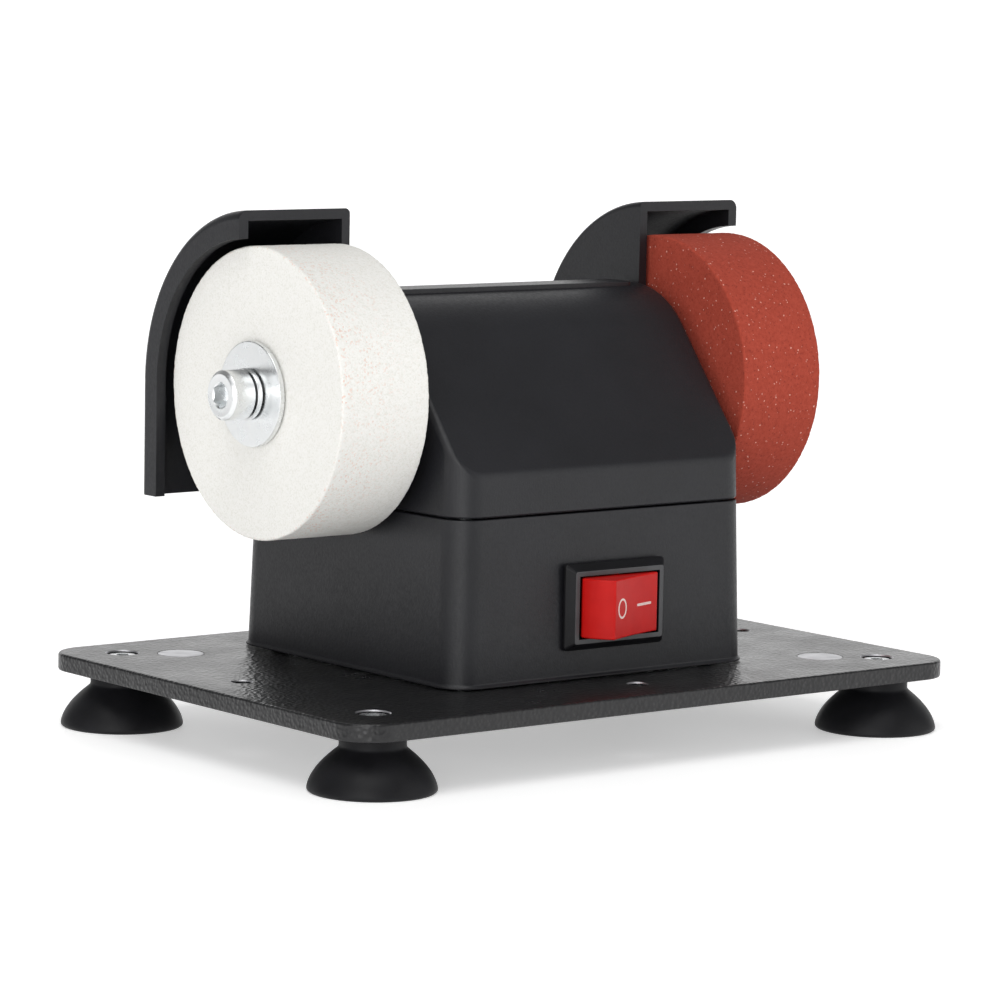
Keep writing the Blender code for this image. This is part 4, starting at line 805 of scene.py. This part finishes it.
def build_switch():
    lo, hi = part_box("switch_body")
    x, z = (lo.x + hi.x) / 2, (lo.z + hi.z) / 2
    front, face = lo.y, lo.y + 1.9 * MM
    hl, hh = (hi.x - lo.x) / 2, (hi.z - lo.z) / 2
    place = at(x, 0, z) @ ALONG_Y
    levels = []
    for inset, out in ((0.0, 0.0), (0.0, 0.40), (0.05, 0.52), (0.15, 0.62), (1.15, 1.78), (1.22, 1.86),
                       (1.32, 1.9)):
        outline = rounded_rect(hl - inset * MM, hh - inset * MM, (0.7 - inset * 0.25) * MM, 5)
        levels.append((outline, -face + out * MM))
    body = stack("bezel", levels, ["switch_black", "bezel_face"], place)
    bl, bh = hl - 1.7 * MM, hh - 1.2 * MM
    join(body, prism("box", rounded_rect(bl, bh, 0.5 * MM, 4), -hi.y, -face + 0.2 * MM, (), place))
    pivot_y = front + 1.8 * MM
    room_r, room_h, gap = 8.9 * MM, 5.45 * MM, 0.3 * MM
    cut(body, prism("room", rect(-room_r, room_r, -room_h, room_h), -face - 9.5 * MM, -front + MM, (), place),
        prism("pins", ring(1.2 * MM, 32), z - 6.05 * MM, z + 6.05 * MM, (), at(x, pivot_y, 0)))
    for tag in ("left", "right"):
        a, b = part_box("switch_spade_" + tag)
        cut(body, prism("slot", rect(a.x - gap, b.x + gap, hi.y - 3 * MM, hi.y + MM), a.z - gap, b.z + gap))
    for poly in body.data.polygons:
        c = poly.center
        if c.y < front + 0.03 * MM and poly.normal.y < -0.8:
            poly.material_index = 1
    done(body, "frame", "switch_black", "switch_body")
    # rocker: a drum about its pivot with the finger face cut across it, rounded along its edges
    r, half_face, h = 8.6 * MM, 7.2 * MM, 5.15 * MM
    depth = math.sqrt(r * r - half_face ** 2)
    end = math.degrees(math.atan2(-depth, half_face))
    dip = 0.35 * MM
    outline = []
    for k in range(13):
        u = -1 + 2 * k / 12
        outline.append((half_face * u, -depth + dip * (1 - u * u)))
    outline += arc(r, end, 8.0, 22)[1:] + [(2.4 * MM, 5.6 * MM), (-2.4 * MM, 5.6 * MM)]
    outline += arc(r, 172.0, 180.0 - end, 22)[:-1]
    turn = at(x, pivot_y, z) @ Matrix.Rotation(math.radians(TIPPED), 4, "Z")
    rocker = prism("rocker", outline, -h, h, ["rocker_red"], turn)
    ease(rocker, 0.28 * MM, 3, 30.0)
    join(rocker, prism("pin", ring(0.9 * MM, 32), -5.75 * MM, 5.75 * MM, (), turn))
    done(rocker, "rocker", "rocker_red", "switch_rocker")

    def on_face(u, v, up):
        """A point on the finger face: u along it, v up, lifted off it."""
        w = u / half_face
        return turn @ Vector((u, -depth + dip * (1 - w * w) - up, v))

    def mark(name, loop_out, loop_in):
        bm = bmesh.new()
        rows = []
        under, proud = -0.05 * MM, 0.035 * MM
        for loop, up in ((loop_out, under), (loop_out, proud), (loop_in, proud), (loop_in, under)):
            rows.append([bm.verts.new(on_face(u, v, up)) for u, v in loop])
        n = len(rows[0])
        for a, b in zip(rows, rows[1:] + rows[:1]):
            for i in range(n):
                j = (i + 1) % n
                bm.faces.new((a[i], a[j], b[j], b[i]))
        made = wrap(name, bm, ["mark_white"])
        done(made, "rocker", "rocker_red", flat=False)

    def oval(a, b):
        return [(a * x - 4.5 * MM, b * y) for x, y in ring(1.0, 48)]

    mark("mark_off", oval(1.55 * MM, 1.75 * MM), oval(1.2 * MM, 1.4 * MM))
    bar = rounded_rect(2.2 * MM, 0.21 * MM, 0.12 * MM, 4, (3.0 * MM, 0.0))
    inner = rounded_rect(2.0 * MM, 0.02 * MM, 0.015 * MM, 4, (3.0 * MM, 0.0))
    mark("mark_on", bar, inner)


def build_inlet():
    lo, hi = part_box("dc_inlet")
    c = (lo + hi) / 2
    place = at(c.x, 0, c.z) @ ALONG_Y @ Matrix.Rotation(math.pi, 4, "X")
    out, back = hi.y, lo.y
    seat = out - 1.2 * MM
    shell = soft([(2.85 * MM, out), (5.6 * MM, out), (5.6 * MM, seat), (3.9 * MM, seat), (3.9 * MM, back)],
                 0.3 * MM)[1:-1]
    profile = [(0.0, out - 0.6 * MM), (0.75 * MM, out - 0.6 * MM), (1.05 * MM, out - 0.9 * MM),
               (1.05 * MM, out - 9 * MM), (2.85 * MM, out - 9 * MM), (2.85 * MM, out - 0.3 * MM),
               (3.1 * MM, out)] + shell
    profile += [(3.9 * MM, back + 0.2 * MM), (3.7 * MM, back), (0.0, back)]
    jack = turned("jack", profile, 64, ["switch_black"], place)
    done(jack, "frame", "switch_black", "dc_inlet")


build_plate()
build_feet()
build_lower()
build_upper()
build_guards()
build_wheels()
build_switch()
build_inlet()

# ---- finishes of the CAD nodes that stay --------------------------------------------------------
KEPT = {
    "zinc": ("case_screw_", "inner_flange_"),
    "black_steel": ("guard_screw_",),
    "steel": ("arbor_", "motor_shaft", "rotor_core", "inlet_nut"),
    "motor_steel": ("motor_can",),
    "nylon": ("motor_end_cap",),
    "brass": ("bushing_", "motor_tab_", "switch_spade_"),
    "ferrite": ("magnet_",),
    "carbon": ("brush_",),
    "copper": ("winding_", "commutator"),
    "wire_red": ("lead_inlet_switch", "lead_switch_motor"),
    "wire_black": ("lead_inlet_motor",),
}
for node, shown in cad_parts.items():
    for mat, starts in KEPT.items():
        if not shown.hide_render and node.startswith(starts):
            shown.data.materials.clear()
            shown.data.materials.append(M[mat])
bpy.data.collections.remove(CUTTERS)

# ---- floor, light, camera -----------------------------------------------------------------------
floor_tone = Finish("pale_floor", specular=0.2)
floor_tone.colour(floor_tone.ramp(floor_tone.noise(400.0, 2.0), (0.3, 0.90), (0.7, 0.92)))
floor_tone.rough(floor_tone.noise(50.0), 0.55, 0.6)
floor_tone.bsdf.inputs["Emission Color"].default_value = (1.0, 1.0, 1.0, 1.0)
floor_tone.bsdf.inputs["Emission Strength"].default_value = 0.42
bm = bmesh.new()
bmesh.ops.create_grid(bm, x_segments=2, y_segments=2, size=40.0)
mesh = bpy.data.meshes.new("floor")
bm.to_mesh(mesh)
bm.free()
mesh.materials.append(floor_tone.mat)
floor = bpy.data.objects.new("floor", mesh)
scene.collection.objects.link(floor)

world = bpy.data.worlds.new("studio")
scene.world = world
world.use_nodes = True
tree = world.node_tree
back = tree.nodes["Background"]
sky = tree.nodes.new("ShaderNodeTexCoord").outputs["Generated"]


def softbox(total, direction, wide, edge, level):
    """Adds a soft round light on the studio's walls: full inside wide degrees, gone at edge."""
    dot = tree.nodes.new("ShaderNodeVectorMath")
    dot.operation = "DOT_PRODUCT"
    tree.links.new(sky, dot.inputs[0])
    dot.inputs[1].default_value = Vector(direction).normalized()
    fade = tree.nodes.new("ShaderNodeMapRange")
    fade.interpolation_type = "SMOOTHSTEP"
    fade.inputs["From Min"].default_value = math.cos(math.radians(edge))
    fade.inputs["From Max"].default_value = math.cos(math.radians(wide))
    fade.inputs["To Max"].default_value = level
    tree.links.new(dot.outputs["Value"], fade.inputs["Value"])
    add = tree.nodes.new("ShaderNodeMath")
    tree.links.new(fade.outputs["Result"], add.inputs[0])
    if isinstance(total, float):
        add.inputs[1].default_value = total
    else:
        tree.links.new(total, add.inputs[1])
    return add.outputs[0]


glow = softbox(0.22, (0.617, -0.778, 0.10), 14, 40, 1.0)        # front right, over an even dim studio
glow = softbox(glow, (0.617, 0.778, 0.10), 20, 48, 1.1)         # rear right
glow = softbox(glow, (-0.84, -0.52, 0.14), 12, 36, 1.8)         # front left
glow = softbox(glow, (-0.28, -0.25, 0.92), 8, 30, 2.8)          # overhead
tree.links.new(glow, back.inputs["Strength"])
back.inputs["Color"].default_value = (1.0, 1.0, 1.0, 1.0)
scene.view_settings.view_transform = "Standard"


data = bpy.data.lights.new("key", "AREA")
data.shape = "RECTANGLE"
data.size = data.size_y = 0.35
data.energy = 0.7
key = bpy.data.objects.new("key", data)
scene.collection.objects.link(key)
key.location = (-0.62, -0.60, 0.22)
key.rotation_mode = "QUATERNION"
key.rotation_quaternion = (Vector((0.0, 0.0, 0.05)) - key.location).to_track_quat("-Z", "Y")

# from the front left and a little above, through a long lens
YAW, PITCH, ROLL = math.radians(-38.407), math.radians(-6.844), math.radians(1.101)
CAMERA_AT = (-0.474962, -0.597534, 0.132229)
ahead = Vector((-math.sin(YAW) * math.cos(PITCH), math.cos(YAW) * math.cos(PITCH), math.sin(PITCH)))
right = ahead.cross(Vector((0, 0, 1))).normalized()
up = right.cross(ahead)
across = right * math.cos(ROLL) + up * math.sin(ROLL)
over = up * math.cos(ROLL) - right * math.sin(ROLL)
data = bpy.data.cameras.new("camera")
data.sensor_width = 36.0
data.lens = 156.25
data.clip_start, data.clip_end = 0.05, 20.0
camera = bpy.data.objects.new("camera", data)
scene.collection.objects.link(camera)
turn = Matrix((across, over, -ahead)).transposed().to_4x4()
camera.matrix_world = Matrix.Translation(CAMERA_AT) @ turn
scene.camera = camera
